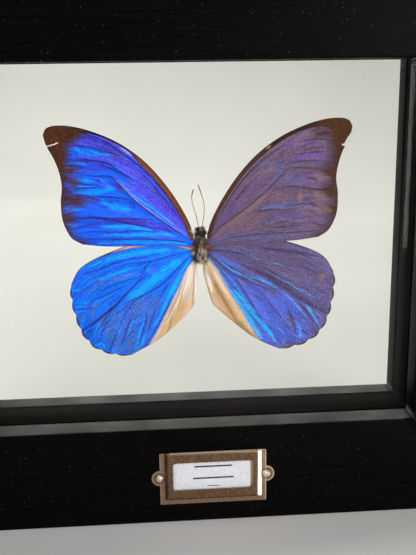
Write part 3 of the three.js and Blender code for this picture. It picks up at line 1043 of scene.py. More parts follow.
def wing_zones(flat, kind, edges, marks):
    """Numbers for each place on a wing. border and strip are millimetres into the brown, edge is
    millimetres from the margin, cream is millimetres past the fold's line, and each kind of stroke
    is exp(-(distance / half-width)^2)."""
    lead, outer = margins(flat, edges)
    out, up = flat[..., 0], flat[..., 1]
    zones = {"edge": np.minimum(lead, outer), "out": out / REACH[kind]}
    for stroke_kind in STROKE_KINDS:
        zones[stroke_kind], nearest = stroke_zone(flat, strokes(marks.get(stroke_kind, "")))
        if stroke_kind == "vein":
            to_vein = nearest
    zones["strip"] = np.interp(out, LEAD_DISTANCES, marks["lead"]) - lead
    if kind == "forewing":
        inside = [width - stroke_zone(flat, [(width, 1, points)])[1]
                  for width, _, points in strokes(marks["brown"])]
        side = np.interp(up, BROWN_HEIGHTS, marks["margin"]) - outer
        zones["border"] = np.maximum.reduce([side, *inside])
        zones["cream"] = np.full(out.shape, NOWHERE)
    else:
        fold, turn, _ = distance_to_line(flat, spline(CREAM_LINE, 60))
        zones["border"] = np.full(out.shape, NOWHERE)
        zones["cream"] = -fold * turn
    ridge = VEIN_HEIGHT * zones["vein"]
    sag = SAG_DEPTH * (1 - np.exp(-(to_vein / SAG_WIDTH) ** 2))
    bulge = FOLD_BULGE * np.sin(np.pi * np.clip(zones["cream"] / FOLD_WIDTH, 0, 1))
    return zones, ridge - sag + bulge


# %% [markdown]
# ## Wing scales
#
# A wing is a brown membrane shingled with thousands of scales. On the upper side each scale carries
# fine ridges that reflect blue as a metal would, and the colour slides from azure to violet with
# the angle. The finish is therefore a rough, tinted metal in blue, broken into long streaks along
# the veins and cross rows of scales, over matt brown at the borders. A scale is only 0.1 mm, too
# small to see, so the rows are drawn 0.75 mm apart. The underside is matt brown with ringed eyes.

# %% Scale material
STREAK_LENGTH = 8
STREAK_WIDTH = 0.8
BROAD_LENGTH = 22
BROAD_WIDTH = 5
FEATHER_LENGTH = 3.6
FEATHER_WIDTH = 0.45
SCALE_ROW = 0.75
RIPPLE_SCALE = 0.26
# rose is a pink tint of the scales; the silk strokes are painted highlights on the cream folds and the
# crease strokes are painted shade in their creases.
ROSE_AND_PAINTED_FOLD_LIGHT = {"rose": (0.6, "#c8987e"), "silk": (0.7, "#e2d4ca"), "crease_shade": (0.6, "#5c4030")}


def wing_scales(name, metal, base, glow, violet, light, dark, dull, vein, border, strip, strip_end,
                silk, tan, fringe="#3c2632", ripple=0.25):
    """Iridescent scales on chitin: metallic where blue, matt where brown or cream."""
    material, add = new_material(name)
    fan = add("ShaderNodeUVMap", uv_map="grain").outputs[0]
    coords = add(PLACE)

    def zone(label):
        return add(FIELD, attribute_name=label)

    def fan_noise(length, width, detail):
        """Noise whose lumps are length millimetres along the veins and width across them."""
        stretch = (1 / length, 1 / width, 1)
        stretched = add("ShaderNodeMapping", {"Vector": fan, "Scale": stretch}).outputs[0]
        return add(NOISE, stretched, 1.0, detail)

    streak = fan_noise(STREAK_LENGTH, STREAK_WIDTH, 3.0)
    broad = fan_noise(BROAD_LENGTH, BROAD_WIDTH, 2.0)
    feather = fan_noise(FEATHER_LENGTH, FEATHER_WIDTH, 2.0)
    rows = add(NOISE, coords, 1 / (SCALE_ROW * MM), 2.0)
    waves = add("ShaderNodeTexWave", {
        "Vector": fan, "Scale": RIPPLE_SCALE, "Distortion": 5.0, "Detail": 2.0}, bands_direction="X")

    def brushed(label):
        """A stroke whose edge frays along the veins: a soft step of zone + 1.6 (feather - 1/2)."""
        frayed = add(TIMES_PLUS, feather, 1.6, add(MINUS, zone(label), 0.8))
        return add(SOFT_STEP, frayed, 0.15, 0.8)

    drift = add(TIMES_PLUS, broad, 1.8, -0.9)
    slate = add(SOFT_STEP, streak, 0.34, 0.6, 0.3, 0.95)
    shade = add(LARGER, brushed("dark"), add(SOFT_STEP, streak, 0.47, 0.3, 0.0, 0.75))
    rippled = add(TIMES, waves.outputs["Fac"], ripple)
    rags = add(PLUS, add(TIMES_PLUS, feather, 6.0, -3.0), add(TIMES_PLUS, streak, 6.0, -3.0))
    depth = add(PLUS, zone("border"), rags)
    fringed = add(SOFT_STEP, depth, -4.5, 0.0, 0.0, 0.85)
    # From the ground up: each layer's cover and its colour.
    layers = [
        (add(PLUS, brushed("violet"), drift, use_clamp=True), violet),
        (add(TIMES, zone("dull"), slate), dull),
        # The glow streaks and rows and the light strokes are painted glints and highlights, where the
        # scales would mirror the lamp.
        (add(SOFT_STEP, streak, 0.54, 0.7, 0.0, 0.5), glow),
        (brushed("light"), light),
        (add(TIMES, shade, 0.85), dark),
        (add(TIMES, zone("dull"), rippled), dark),
        (add(SOFT_STEP, rows, 0.52, 0.36, 0.0, 0.4), dark),
        (add(SOFT_STEP, rows, 0.52, 0.7, 0.0, 0.4), glow),
        (add(TIMES, zone("vein"), 0.78), vein),
        (fringed, fringe),
    ]
    colour = hue(base)
    for cover, tone in layers:
        colour = add(BLEND, cover, colour, hue(tone))

    brown = add(SOFT_STEP, depth, -0.7, 0.9)
    low_rows = add(SOFT_STEP, rows, 0.36, 0.52, 0.6, 0.0)
    high_rows = add(SOFT_STEP, rows, 0.54, 0.72, 0.0, 0.3)
    brown_tone = add(BLEND, low_rows, hue(border), hue(strip_end))
    brown_tone = add(BLEND, high_rows, brown_tone, hue("#6e3e20"))
    colour = add(BLEND, brown, colour, brown_tone)
    worn = add(PLUS, zone("strip"), add(TIMES_PLUS, feather, 0.8, -0.4))
    copper = add(SOFT_STEP, worn, -0.12, 0.12)
    outward = add(SOFT_STEP, zone("out"), 0.4, 0.52)
    at_tip = add(SOFT_STEP, zone("out"), 0.76, 0.88)
    strip_tone = add(BLEND, add(SOFT_STEP, worn, 0.55, 0.1), hue(strip), hue(strip_end))
    strip_tone = add(BLEND, outward, strip_tone, hue(strip_end))
    strip_tone = add(BLEND, at_tip, strip_tone, brown_tone)
    colour = add(BLEND, copper, colour, strip_tone)
    rim = add(SOFT_STEP, zone("edge"), 0.22, 0.5, 0.85, 0.0)
    colour = add(BLEND, rim, colour, hue(strip_end))

    past_fold = add(PLUS, zone("cream"), add(TIMES_PLUS, feather, 1.0, -0.5))
    fold = add(SOFT_STEP, past_fold, -0.3, 0.3)
    silk_tone = add(BLEND, add(SOFT_STEP, streak, 0.35, 0.65, 0.0, 0.7), hue(silk), hue(tan))
    colour = add(BLEND, fold, colour, silk_tone)
    tan_tone = add(BLEND, add(SOFT_STEP, feather, 0.35, 0.65), hue(tan), hue("#bb9468"))
    colour = add(BLEND, zone("tan"), colour, tan_tone)
    # Painted highlights and shade on the folds, and the rose tint.
    for label, (cover, tone) in ROSE_AND_PAINTED_FOLD_LIGHT.items():
        colour = add(BLEND, add(TIMES, zone(label), cover), colour, hue(tone))
    under = zone("under")
    colour = add(BLEND, under, colour, underside(add, zone("eye"), streak))

    plain = add(LARGER, add(LARGER, brown, copper), add(LARGER, fold, under))
    matt = add(LARGER, plain, add(LARGER, zone("tan"), add(TIMES, fringed, 0.7)))
    metallic = add(SOFT_STEP, matt, 0.0, 1.0, metal, 0.0)
    rough = add(PLUS, add(SOFT_STEP, matt, 0, 1, 0.4, 0.62), add(TIMES, rows, 0.12))
    height = add(PLUS, add(TIMES, streak, 0.8), add(TIMES, rows, 0.7))
    height = add(PLUS, height, add(TIMES, feather, 0.6))
    bump = add(BUMP, height, 0.7, 0.22 * MM)
    skin = add("ShaderNodeBsdfPrincipled", {
        "Base Color": colour, "Metallic": metallic, "Roughness": rough, "Normal": bump})
    skin.inputs["Specular IOR Level"].default_value = 0.1
    add("ShaderNodeOutputMaterial", {"Surface": skin.outputs[0]})
    return material


def underside(add, eye, streak):
    """Brown with a paler wash and ringed eyes: black pupil, tan ring, dark ring, from inside out."""
    ground = add(BLEND, add(SOFT_STEP, streak, 0.3, 0.7), hue("#4a3324"), hue("#6e5440"))
    outer = add(BLEND, add(SOFT_STEP, eye, 0.18, 0.26), ground, hue("#2a1a12"))
    ring = add(BLEND, add(SOFT_STEP, eye, 0.42, 0.5), outer, hue("#c09a58"))
    pupil = add(BLEND, add(SOFT_STEP, eye, 0.66, 0.74), ring, hue("#120c0c"))
    return add(BLEND, add(SOFT_STEP, eye, 0.93, 0.97), pupil, hue("#d8d4cc"))


# %% Building a wing
WING_THICKNESS = 0.16
WING_LENGTH = 60
WING_BREADTH = 50
SIDE_SHIFT = 70
RIPPLE_HEIGHT = 0.16
RIPPLE_WAVES = 4.5
RIPPLE_PHASE = 1.3
EYES = {
    "forewing": [((40, 30), 4.2), ((43, 20), 3.4), ((44, 39), 2.6)],
    "hindwing": [((36, -12), 5.0), ((38, -26), 3.8), ((30, -35), 4.0), ((43, -33), 3.0)],
}


def eye_field(flat, eyes):
    """1 - distance / radius to the nearest eye's centre, and 0 outside every eye."""
    found = [1 - np.linalg.norm(flat - np.array(centre), axis=-1) / radius for centre, radius in eyes]
    return np.clip(np.maximum.reduce(found), 0, 1)


def build_wing(name, node_name, kind, edges, marks, material, side, turn, size, behind,
               rows, columns, scallops=0, missing=None):
    """One wing as a closed two-sided sheet with its zones stored on its points. A slow ripple
    grows as u^2 towards the outer margin."""
    flat = coons(edges, rows, columns, scallops)
    u, v = np.meshgrid(np.linspace(0, 1, rows), np.linspace(0, 1, columns), indexing="ij")
    zones, relief = wing_zones(flat, kind, edges, marks)
    ripple = RIPPLE_HEIGHT * u ** 2 * np.sin(2 * np.pi * RIPPLE_WAVES * v + RIPPLE_PHASE * side)
    lift = relief + ripple - behind * STAGGER
    half = WING_THICKNESS / 2
    front = place_wing(flat, lift + half, side, turn, size)
    back = place_wing(flat, lift - half, side, turn, size)
    middle = (flat[:-1, :-1] + flat[1:, 1:]) / 2
    kept = np.ones(middle.shape[:2], bool) if missing is None else ~missing(middle)
    points, faces, used = closed_sheet(front, back, kept)
    values = {label: np.tile(numbers.ravel(), 2)[used] for label, numbers in zones.items()}
    values["eye"] = np.tile(eye_field(flat, EYES[kind]).ravel(), 2)[used]
    values["under"] = (used >= rows * columns).astype(float)
    spread = np.stack([u * WING_LENGTH + SIDE_SHIFT * side, v * WING_BREADTH], -1)
    uv = np.tile(spread.reshape(-1, 2), (2, 1))[used]
    wing = make_piece(name, points, faces, material, uv, values)
    carry(wing, kind + "_scales", node_name)


# %% The four wings
def left_slit(places):
    """A crack in the left forewing's tip, 0.4 mm wide."""
    return distance_to_line(places, [(64.5, 43.8), (60.5, 44.7), (58.6, 45.4)])[0] < 0.2


def right_nick(places):
    """A straight chip off the right forewing's margin below the tip, and a nick at its foot."""
    side = distance_to_line(places, [(65, 48.4), (60.5, 41.6)])[1]
    chip = (side > 0) & (places[..., 1] > 41.6) & (places[..., 1] < 48.4)
    nick = distance_to_line(places, [(62.6, 41.1), (60.3, 41.4)])[0] < 0.32
    return chip | nick


# Lit and shaded copies of one palette: the left wings are painted bright azure and more metallic, as lit
# by the wing panel, and the right wings dull purple and less metallic, as in shade.
forewing_left_scales = wing_scales(
    "lit_forewing_scales", 0.8, base="#1057e6", glow="#1876f4", violet="#4836b6", light="#0a90ff",
    dark="#2a1a86", dull="#54427c", vein="#241240", border="#42200f", strip="#5e2e1a",
    strip_end="#1c0f0a", silk="#e2d6cc", tan="#8a5a44")
forewing_right_scales = wing_scales(
    "shaded_forewing_scales", 0.35, base="#5d4a60", glow="#74648c", violet="#604488", light="#4c64a4",
    dark="#3a2c42", dull="#7a5a62", vein="#2c1c20", border="#3c220f", strip="#3e2416",
    strip_end="#2c190f", silk="#e2d6cc", tan="#a87a70", fringe="#3c2a30")
hindwing_left_scales = wing_scales(
    "lit_hindwing_scales", 0.8, base="#0a6af0", glow="#1092ff", violet="#364ae4", light="#089cff",
    dark="#2428a4", dull="#5e7ca2", vein="#1c1c6c", border="#4e2210", strip="#bd9a84",
    strip_end="#4a2c20", silk="#c2b6ac", tan="#ac8a66", ripple=0.6)
hindwing_right_scales = wing_scales(
    "shaded_hindwing_scales", 0.4, base="#584a6c", glow="#686cb4", violet="#465cc6", light="#1aa6f6",
    dark="#3c2c48", dull="#5c4c66", vein="#241a34", border="#4e2210", strip="#a0683c",
    strip_end="#3e2418", silk="#bda88e", tan="#96754c")

forewing = dict(kind="forewing", edges=FOREWING, behind=-1, rows=150, columns=250)
hindwing = dict(kind="hindwing", behind=1, rows=150, columns=250, scallops=SCALLOPS)
build_wing("scaled_forewing_left", "forewing_left", marks=FOREWING_LEFT, side=-1, turn=0, size=1,
           material=forewing_left_scales, missing=left_slit, **forewing)
build_wing("scaled_forewing_right", "forewing_right", marks=FOREWING_RIGHT, side=1, turn=0.6, size=1.01,
           material=forewing_right_scales, missing=right_nick, **forewing)
build_wing("scaled_hindwing_left", "hindwing_left", marks=HINDWING_LEFT, side=-1, turn=0, size=1,
           material=hindwing_left_scales, edges=HINDWING, **hindwing)
build_wing("scaled_hindwing_right", "hindwing_right", marks=HINDWING_RIGHT, side=1, turn=2.6, size=1.02,
           material=hindwing_right_scales, edges=dict(HINDWING, trailing=RIGHT_FOLD), **hindwing)


# %% [markdown]
# ## The body
#
# Only the head and the thorax are left of the body, 15 mm long and 5 mm thick. Under the fur it is a
# plain turned shape, so a circle of changing radius gives it. The fur is what the eye sees: a few
# thousand short hairs, each a three-sided spike that droops, combed down and back, dark at the head
# and shoulders and grey-buff along the middle.

# %% Turned shapes
def turned(profile, count, columns, centre, depth_ratio=1.0):
    """A profile of (radius, height) turned round an upright axis: x = r cos a, y = r sin a."""
    line = spline(profile, count)
    angle = np.linspace(0, 2 * np.pi, columns, endpoint=False)
    radius = np.maximum(line[:, :1], 0)
    x = centre[0] + radius * np.cos(angle)
    y = centre[1] + depth_ratio * radius * np.sin(angle)
    z = centre[2] + line[:, 1:] + 0 * angle
    points = np.stack([x, y, z], -1)
    faces = [face[::-1] for face in grid_faces(count, columns, around=True)]
    return points, faces + end_caps(count, columns)


BODY_PROFILE = [(0.05, 112.6), (1.3, 112.8), (2.1, 114), (2.5, 116.5), (2.6, 119.5), (2.4, 122),
                (1.75, 123.6), (1.5, 124.2), (1.7, 125.2), (1.5, 126.8), (0.8, 127.7), (0.05, 128)]
DEPTH_RATIO = 1.15
HAIR_FLECKS = 1500.0
CORE_TONE = 0.16
CORE_RINGS = 60
CORE_COLUMNS = 48


def fur(name):
    """Fine dry hair: no gloss to speak of, dark at the root and paler along its length."""
    material, add = new_material(name)
    tone = add(FIELD, attribute_name="tone")
    orange = add(FIELD, attribute_name="orange")
    coords = add(PLACE)
    noise = add(NOISE, coords, HAIR_FLECKS)
    shade = add(PLUS, tone, add(TIMES_PLUS, noise, 0.3, -0.15), use_clamp=True)
    middle = add(BLEND, add(SOFT_STEP, shade, 0.0, 0.55), hue("#100a07"), hue("#8a644c"))
    colour = add(BLEND, add(SOFT_STEP, shade, 0.5, 0.95), middle, hue("#f0dcc8"))
    colour = add(BLEND, orange, colour, hue("#b8683a"))
    hair = add("ShaderNodeBsdfPrincipled", {"Base Color": colour, "Roughness": 0.7})
    add("ShaderNodeOutputMaterial", {"Surface": hair.outputs[0]})
    return material


body_fur = fur("dry_body_fur")
body_centre = (BODY_X, ROOT_Y, 0)
core_points, core_faces = turned(BODY_PROFILE, CORE_RINGS, CORE_COLUMNS, body_centre, DEPTH_RATIO)
core_tone = np.full(core_points.shape[:2], CORE_TONE)
core = make_piece("thorax_and_head", core_points.reshape(-1, 3), core_faces, body_fur,
                  values={"tone": core_tone, "orange": 0 * core_tone})
carry(core, "body_hair", "body")


# %% Hairs
HAIR_SIDES = 3
HAIR_RINGS = 3
HAIR_TAPER = 0.93


def hairs(name, roots, headings, lengths, thickness, tones, oranges, droop):
    """Many spikes in one mesh. A hair's middle line is root + t L heading + t^2 L droop, and its
    radius shrinks as 1 - HAIR_TAPER t. All the hairs are worked out together."""
    count = len(roots)
    t = np.linspace(0, 1, HAIR_RINGS + 1)[None, :, None]
    length = lengths[:, None, None]
    line = roots[:, None] + t * length * headings[:, None] + t ** 2 * length * np.array(droop)
    across = np.cross(headings, rng.normal(size=(count, 3)))
    across /= np.linalg.norm(across, axis=1, keepdims=True)
    over = np.cross(headings, across)
    angle = np.arange(HAIR_SIDES) * 2 * np.pi / HAIR_SIDES
    ring = (np.cos(angle)[None, :, None] * across[:, None] + np.sin(angle)[None, :, None] * over[:, None])
    radius = thickness * (1 - HAIR_TAPER * t)[..., None]
    points = line[:, :, None] + radius * ring[:, None]
    block = np.array(grid_faces(HAIR_RINGS + 1, HAIR_SIDES, around=True))
    size = (HAIR_RINGS + 1) * HAIR_SIDES
    starts = (np.arange(count) * size)[:, None, None]
    quads = (block[None] + starts).reshape(-1, 4).tolist()
    ends = np.array([[0, 2, 1], [size - 3, size - 2, size - 1]])
    caps = (ends[None] + starts).reshape(-1, 3).tolist()
    values = {"tone": np.repeat(tones, size), "orange": np.repeat(oranges, size)}
    piece = make_piece(name, points.reshape(-1, 3), quads + caps, body_fur, values=values)
    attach(piece, "root")
    print(name, count, "hairs")


COAT_HAIRS = 4200
COAT_THICKNESS = 0.07
COAT_DROOP = [0, 0.15, -0.5]
LOCKS = 170
COAT_LOW, COAT_HIGH = 112.8, 127.7
NECK = 123.6
BROW = 124.5


def thorax_coat(count):
    """Roots spread over the turned shape in LOCKS locks. Every hair takes the tone and most of the
    heading of the lock nearest to it, so that pale and dark locks lie side by side."""
    line = spline(BODY_PROFILE, 400)
    height = rng.uniform(COAT_LOW, COAT_HIGH, count)
    radius = np.interp(height, line[:, 1], line[:, 0])
    angle = rng.uniform(0, 2 * np.pi, count)
    outwards = np.stack([np.cos(angle), DEPTH_RATIO * np.sin(angle), 0 * angle], -1)
    roots = np.array(body_centre) + radius[:, None] * outwards
    roots[:, 2] = height
    lock = roots[:LOCKS]
    gaps = np.linalg.norm(roots[:, None] - lock[None], axis=-1)
    nearest = gaps.argmin(axis=1)
    up = lock[:, 2]
    middle = np.exp(-((lock[:, 0] - BODY_X - 0.2) / 1.3) ** 2) * (lock[:, 1] < ROOT_Y)
    dice = rng.uniform(0, 1, LOCKS)
    low = soft_step(119 - up, 0, 3)
    pale = middle * np.where(dice < 0.45 + 0.2 * low, 0.65 + 0.35 * low, 0.1)
    lock_tone = np.where(up > NECK, np.where(dice < 0.12, 0.7, 0.02), 0.12 + pale)
    lock_tone = np.where((up < 122) & (dice > 0.9), 0.75, lock_tone)
    comb = np.where(up > BROW, 0.7, -0.9) + rng.normal(0, 0.5, LOCKS)
    sweep_way = np.stack([rng.normal(0, 0.55, LOCKS), rng.normal(0, 0.3, LOCKS), comb], -1)
    stray = rng.normal(0, 0.2, (count, 3))
    headings = outwards + sweep_way[nearest] + stray
    headings /= np.linalg.norm(headings, axis=1, keepdims=True)
    dark_hair = rng.uniform(0, 1, count) < 0.3
    tones = np.clip(lock_tone[nearest] * np.where(dark_hair, 0.3, 1) + rng.normal(0, 0.08, count), 0, 1)
    lengths = rng.uniform(0.8, 1.6, count) * np.where(height > NECK, 1.0, 1.25)
    return roots, headings, tones, lengths


coat_roots, coat_headings, coat_tones, coat_lengths = thorax_coat(COAT_HAIRS)
no_orange = np.zeros(COAT_HAIRS)
hairs("thorax_fur", coat_roots, coat_headings, coat_lengths, COAT_THICKNESS, coat_tones, no_orange,
      COAT_DROOP)


# %% [markdown]
# ## Tufts
#
# A few longer tufts break the outline: pale brush-like feelers beside the head, dark bristles on
# top, and orange hair where the wings join the body. Each tuft is a cone of hairs from one spot.

# %% Tufts of longer hair
TUFT_THICKNESS = 0.06
TUFT_DROOP = [0, 0.1, -0.2]
TUFT_WIDTH = 0.28
# Each tuft: its spot, the way it points, length, spread, number of hairs, tone and orange share.
TUFTS = [
    ((-2.6, -1.6, 126.2), (-1, -0.5, 0.9), 2.6, 0.35, 45, 0.95, 0.0),
    ((-0.2, -1.9, 126.8), (0.7, -0.5, 1), 2.4, 0.3, 40, 0.55, 0.0),
    ((1.0, -1.4, 127.0), (0.5, -0.3, 1), 2.2, 0.5, 40, 0.02, 0.0),
    ((-1.2, -1.4, 127.0), (-0.6, -0.3, 1), 2.0, 0.5, 40, 0.02, 0.0),
    ((2.0, -1.2, 125.4), (0.8, -0.6, 0.5), 1.8, 0.5, 60, 0.0, 0.0),
    ((-2.0, -1.2, 125.2), (-0.9, -0.6, 0.2), 1.6, 0.5, 60, 0.0, 0.0),
    ((2.5, -1.6, 119.4), (1, -0.35, 0.1), 2.2, 0.2, 50, 0.45, 0.8),
    ((2.5, -1.5, 118.6), (1, -0.35, 0.05), 4.2, 0.2, 50, 0.16, 0.1),
    ((2.4, -1.4, 117.6), (1, -0.4, -0.35), 2.6, 0.3, 50, 0.1, 0.25),
    ((-2.5, -1.6, 119.2), (-1, -0.35, 0.05), 2.8, 0.2, 50, 0.6, 0.6),
    ((-2.4, -1.4, 117.4), (-1, -0.4, -0.4), 2.2, 0.35, 50, 0.8, 0.1),
    ((0.9, -2.7, 118.2), (0.35, -0.35, -1), 2.6, 0.2, 26, 1.0, 0.0),
    ((0.1, -2.8, 119.8), (-0.15, -0.3, -1), 2.4, 0.2, 26, 0.8, 0.0),
    ((1.6, -2.2, 116.4), (0.1, -0.35, -1), 2.4, 0.22, 26, 1.0, 0.0),
    ((-0.9, -2.5, 117.4), (-0.3, -0.4, -1), 2.2, 0.2, 24, 0.7, 0.0),
    ((0.3, -2.9, 122.2), (-0.1, -0.3, -1), 2.0, 0.15, 24, 0.6, 0.0),
    ((-0.4, -2.8, 118.8), (-0.5, -0.3, -1), 2.0, 0.08, 14, 1.0, 0.0),
    ((0.6, -2.9, 119.6), (0.1, -0.3, -1), 2.2, 0.08, 14, 0.9, 0.0),
    ((1.3, -2.6, 118.8), (0.6, -0.3, -1), 2.0, 0.08, 14, 1.0, 0.0),
    ((-1.3, -2.2, 116.2), (-0.2, -0.4, -1), 1.8, 0.1, 14, 0.8, 0.0),
    ((0.3, -2.8, 116.4), (-0.4, -0.5, -1), 1.8, 0.1, 14, 1.0, 0.0),
    ((2.0, -1.8, 118.4), (0.3, -0.3, -1), 2.2, 0.1, 14, 0.75, 0.0),
    ((-0.1, -2.95, 118.4), (-0.2, -0.3, -1), 2.2, 0.1, 18, 0.0, 0.0),
    ((1.0, -2.9, 117.6), (0.3, -0.3, -1), 2.0, 0.1, 18, 0.0, 0.0),
    ((0.2, -2.6, 113.8), (0.2, -0.6, -1), 1.8, 0.4, 60, 0.9, 0.0),
    ((-1.0, -2.4, 114.4), (-0.3, -0.7, -1), 1.8, 0.4, 50, 0.35, 0.0),
    ((1.4, -2.2, 114.6), (0.5, -0.7, -0.9), 1.9, 0.4, 60, 0.75, 0.0),
]


def tuft_hairs():
    """Roots gathered round each spot and headings spread round the way that it points."""
    blocks = []
    for spot, way, length, spread, count, tone, orange in TUFTS:
        place = np.array(body_centre) + np.array(spot) * (1, 1, 0) + (0, 0, spot[2])
        roots = place + rng.normal(0, TUFT_WIDTH, (count, 3))
        headings = np.array(way) / np.linalg.norm(way) + rng.normal(0, spread, (count, 3))
        headings /= np.linalg.norm(headings, axis=1, keepdims=True)
        lengths = length * rng.uniform(0.6, 1.0, count)
        tones = np.clip(tone + rng.normal(0, 0.12, count), 0, 1)
        blocks.append((roots, headings, lengths, tones, np.full(count, orange)))
    return [np.concatenate(column) for column in zip(*blocks)]


tuft_roots, tuft_headings, tuft_lengths, tuft_tones, tuft_oranges = tuft_hairs()
hairs("thorax_tufts", tuft_roots, tuft_headings, tuft_lengths, TUFT_THICKNESS, tuft_tones, tuft_oranges,
      TUFT_DROOP)


# %% [markdown]
# ## Eyes
#
# The eyes are two dark glossy domes at the sides of the head, each made of tiny facets. A polar
# grid gives the dome: a half ball, a little flattened.

# %% Eyes
EYE_RADIUS = 1.15
EYE_FACETS = 5000.0
EYE_GRID = 32
EYE_PLACES = [(-1.45, -0.55, 125.3), (1.45, -0.55, 125.3)]


def eye_shell():
    """Dark horn with a wet gloss, finely pitted by its facets."""
    material, add = new_material("dark_eye_shell")
    coords = add(PLACE)
    facets = add("ShaderNodeTexVoronoi", {"Vector": coords, "Scale": EYE_FACETS}).outputs["Distance"]
    bump = add(BUMP, facets, 0.3, 0.03 * MM)
    tone = add(BLEND, facets, hue("#120c0a"), hue("#2a1c14"))
    shell = add("ShaderNodeBsdfPrincipled", {
        "Base Color": tone, "Roughness": 0.22, "Normal": bump})
    add("ShaderNodeOutputMaterial", {"Surface": shell.outputs[0]})
    return material


eye_material = eye_shell()
eye_profile = [(EYE_RADIUS * np.sin(a) + 0.01, -EYE_RADIUS * np.cos(a)) for a in np.linspace(0, np.pi, 9)]
for eye_name, place in zip(("eye_left", "eye_right"), EYE_PLACES):
    centre = (body_centre[0] + place[0], body_centre[1] + place[1], place[2])
    eye_points, eye_faces = turned(eye_profile, EYE_GRID, EYE_GRID, centre)
    eye = make_piece(eye_name, eye_points.reshape(-1, 3), eye_faces, eye_material)
    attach(eye, "root")


# %% [markdown]
# ## Antennae
#
# Each antenna is a thread of horn that thickens a little towards its tip. A tube along a smooth
# line does it, with the radius given as a function of the length.

# %% Antenna tubes
ANTENNAE = {
    "antenna_left": [(1.9, 1.6, 127.6), (0.8, 1.2, 133), (-0.6, 0.8, 138), (-1, 0.5, 141.5),
                     (-0.3, 0.2, 144.5)],
    "antenna_right": [(3.1, 1.6, 127.6), (4.1, 1.2, 133), (4.2, 0.8, 138), (3.1, 0.5, 142.5),
                      (1.8, 0.2, 146.5)],
}
ANTENNA_RADIUS = 0.14
CLUB_RADIUS = 0.24
ANTENNA_RINGS = 60
ANTENNA_SIDES = 12
ANTENNA_BANDS = 600.0


def tube(points, radii):
    """A ring of the given radius round each point, square to the path, with both ends closed."""
    path = np.asarray(points, dtype=float)
    forward = np.gradient(path, axis=0)
    forward /= np.linalg.norm(forward, axis=1, keepdims=True)
    across = np.cross(forward, [0.0, 1.0, 0.0])
    across /= np.linalg.norm(across, axis=1, keepdims=True)
    over = np.cross(forward, across)
    angle = np.linspace(0, 2 * np.pi, ANTENNA_SIDES, endpoint=False)[None, :, None]
    spokes = np.cos(angle) * across[:, None] + np.sin(angle) * over[:, None]
    rings = path[:, None] + radii[:, None, None] * spokes
    size = len(path), ANTENNA_SIDES
    return rings.reshape(-1, 3), grid_faces(*size, around=True) + end_caps(*size)


def brown_horn():
    """Dry horn: a dull brown with a low gloss, banded by the antenna's many joints."""
    material, add = new_material("dry_brown_horn")
    coords = add(PLACE)
    bands = add("ShaderNodeTexWave", {"Vector": coords, "Scale": ANTENNA_BANDS}, bands_direction="Z")
    tone = add(BLEND, bands.outputs["Fac"], hue("#4a2e22"), hue("#7a5442"))
    horn = add("ShaderNodeBsdfPrincipled", {"Base Color": tone, "Roughness": 0.5})
    add("ShaderNodeOutputMaterial", {"Surface": horn.outputs[0]})
    return material


horn_brown = brown_horn()
for node_name, route in ANTENNAE.items():
    path = even_spline(route, ANTENNA_RINGS)
    share = np.linspace(0, 1, ANTENNA_RINGS)
    radii = ANTENNA_RADIUS + (CLUB_RADIUS - ANTENNA_RADIUS) * soft_step(share, 0.72, 0.92)
    points, faces = tube(path, radii)
    carry(make_piece("thread_" + node_name, points, faces, horn_brown), "antenna_brown", node_name)


# %% [markdown]
# ## The glue dab
#
# A bead of clear glue sits between the thorax and the back pane. It spreads where it wets the
# glass, so its profile flares at that end. It is only seen from behind, through the pane.

# %% Glue
GLUE_CLOUDS = 700.0


def set_glue():
    """Set clear glue: a yellowish, slightly cloudy resin with a wet gloss."""
    material, add = new_material("set_clear_glue")
    coords = add(PLACE)
    cloud = add(NOISE, coords, GLUE_CLOUDS)
    tone = add(BLEND, cloud, hue("#e8e2cc"), hue("#d2c8a8"))
    resin = add("ShaderNodeBsdfPrincipled", {"Base Color": tone, "Roughness": 0.18})
    resin.inputs["Subsurface Weight"].default_value = 0.3
    add("ShaderNodeOutputMaterial", {"Surface": resin.outputs[0]})
    return material


glue_low, glue_high = solid_box("glue_dab")
glue_depth = glue_high[1] - glue_low[1]
glue_radius = (glue_high[0] - glue_low[0]) / 2
glue_line = [(0.02, 0), (0.55, 0.02), (0.72, 0.2), (0.7, 0.55), (0.86, 0.88), (1, 1), (0.02, 1)]
glue_profile = [(r * glue_radius, t * glue_depth) for r, t in glue_line]
glue_points, glue_faces = turned(glue_profile, 40, 36, (0, 0, 0))
glue_centre = (glue_low + glue_high) / 2
glue_points = np.stack([glue_centre[0] + glue_points[..., 0], glue_low[1] + glue_points[..., 2],
                        glue_centre[2] - glue_points[..., 1]], -1)
glue = make_piece("glue_bead", glue_points.reshape(-1, 3), glue_faces, set_glue())
carry(glue, "clear_glue", "glue_dab")


# %% [markdown]
# ## The label holder
#
# It is pressed from one thin sheet of brass and chemically browned, then rubbed so that its edges
# shine. The solid already has the right steps and window. A Weld modifier joins its loose triangles
# and a fine Bevel rounds every fold, because it is those rounded folds that catch the light.

# %% Aged brass
HOLDER_X = 5
HOLDER_HALF_WIDTH = 23.2
HOLDER_TOP = 33.4
EAR_HEIGHT = 21.9
EAR_RADIUS = 3.5
FACE_HALF_WIDTH = 19.5
FACE_BOTTOM = 12.5
STEP_WIDTH = 1.7
SCREW_RING = 2.6
FLANGE_FRONT = -21.1
BRASS_MOTTLE = 900.0
BRASS_GRAIN = 2400.0
WELD_GAP = 0.002
FOLD_RADIUS = 0.24
SHARPEST_FLAT = 25


def between(add, value, low, high, soft=0.15):
    """1 where a length is from low to high in millimetres, fading out over soft at both ends."""
    rise = add(SOFT_STEP, value, (low - soft) * MM, low * MM)
    fall = add(SOFT_STEP, value, high * MM, (high + soft) * MM, 1.0, 0.0)
    return add(TIMES, rise, fall)


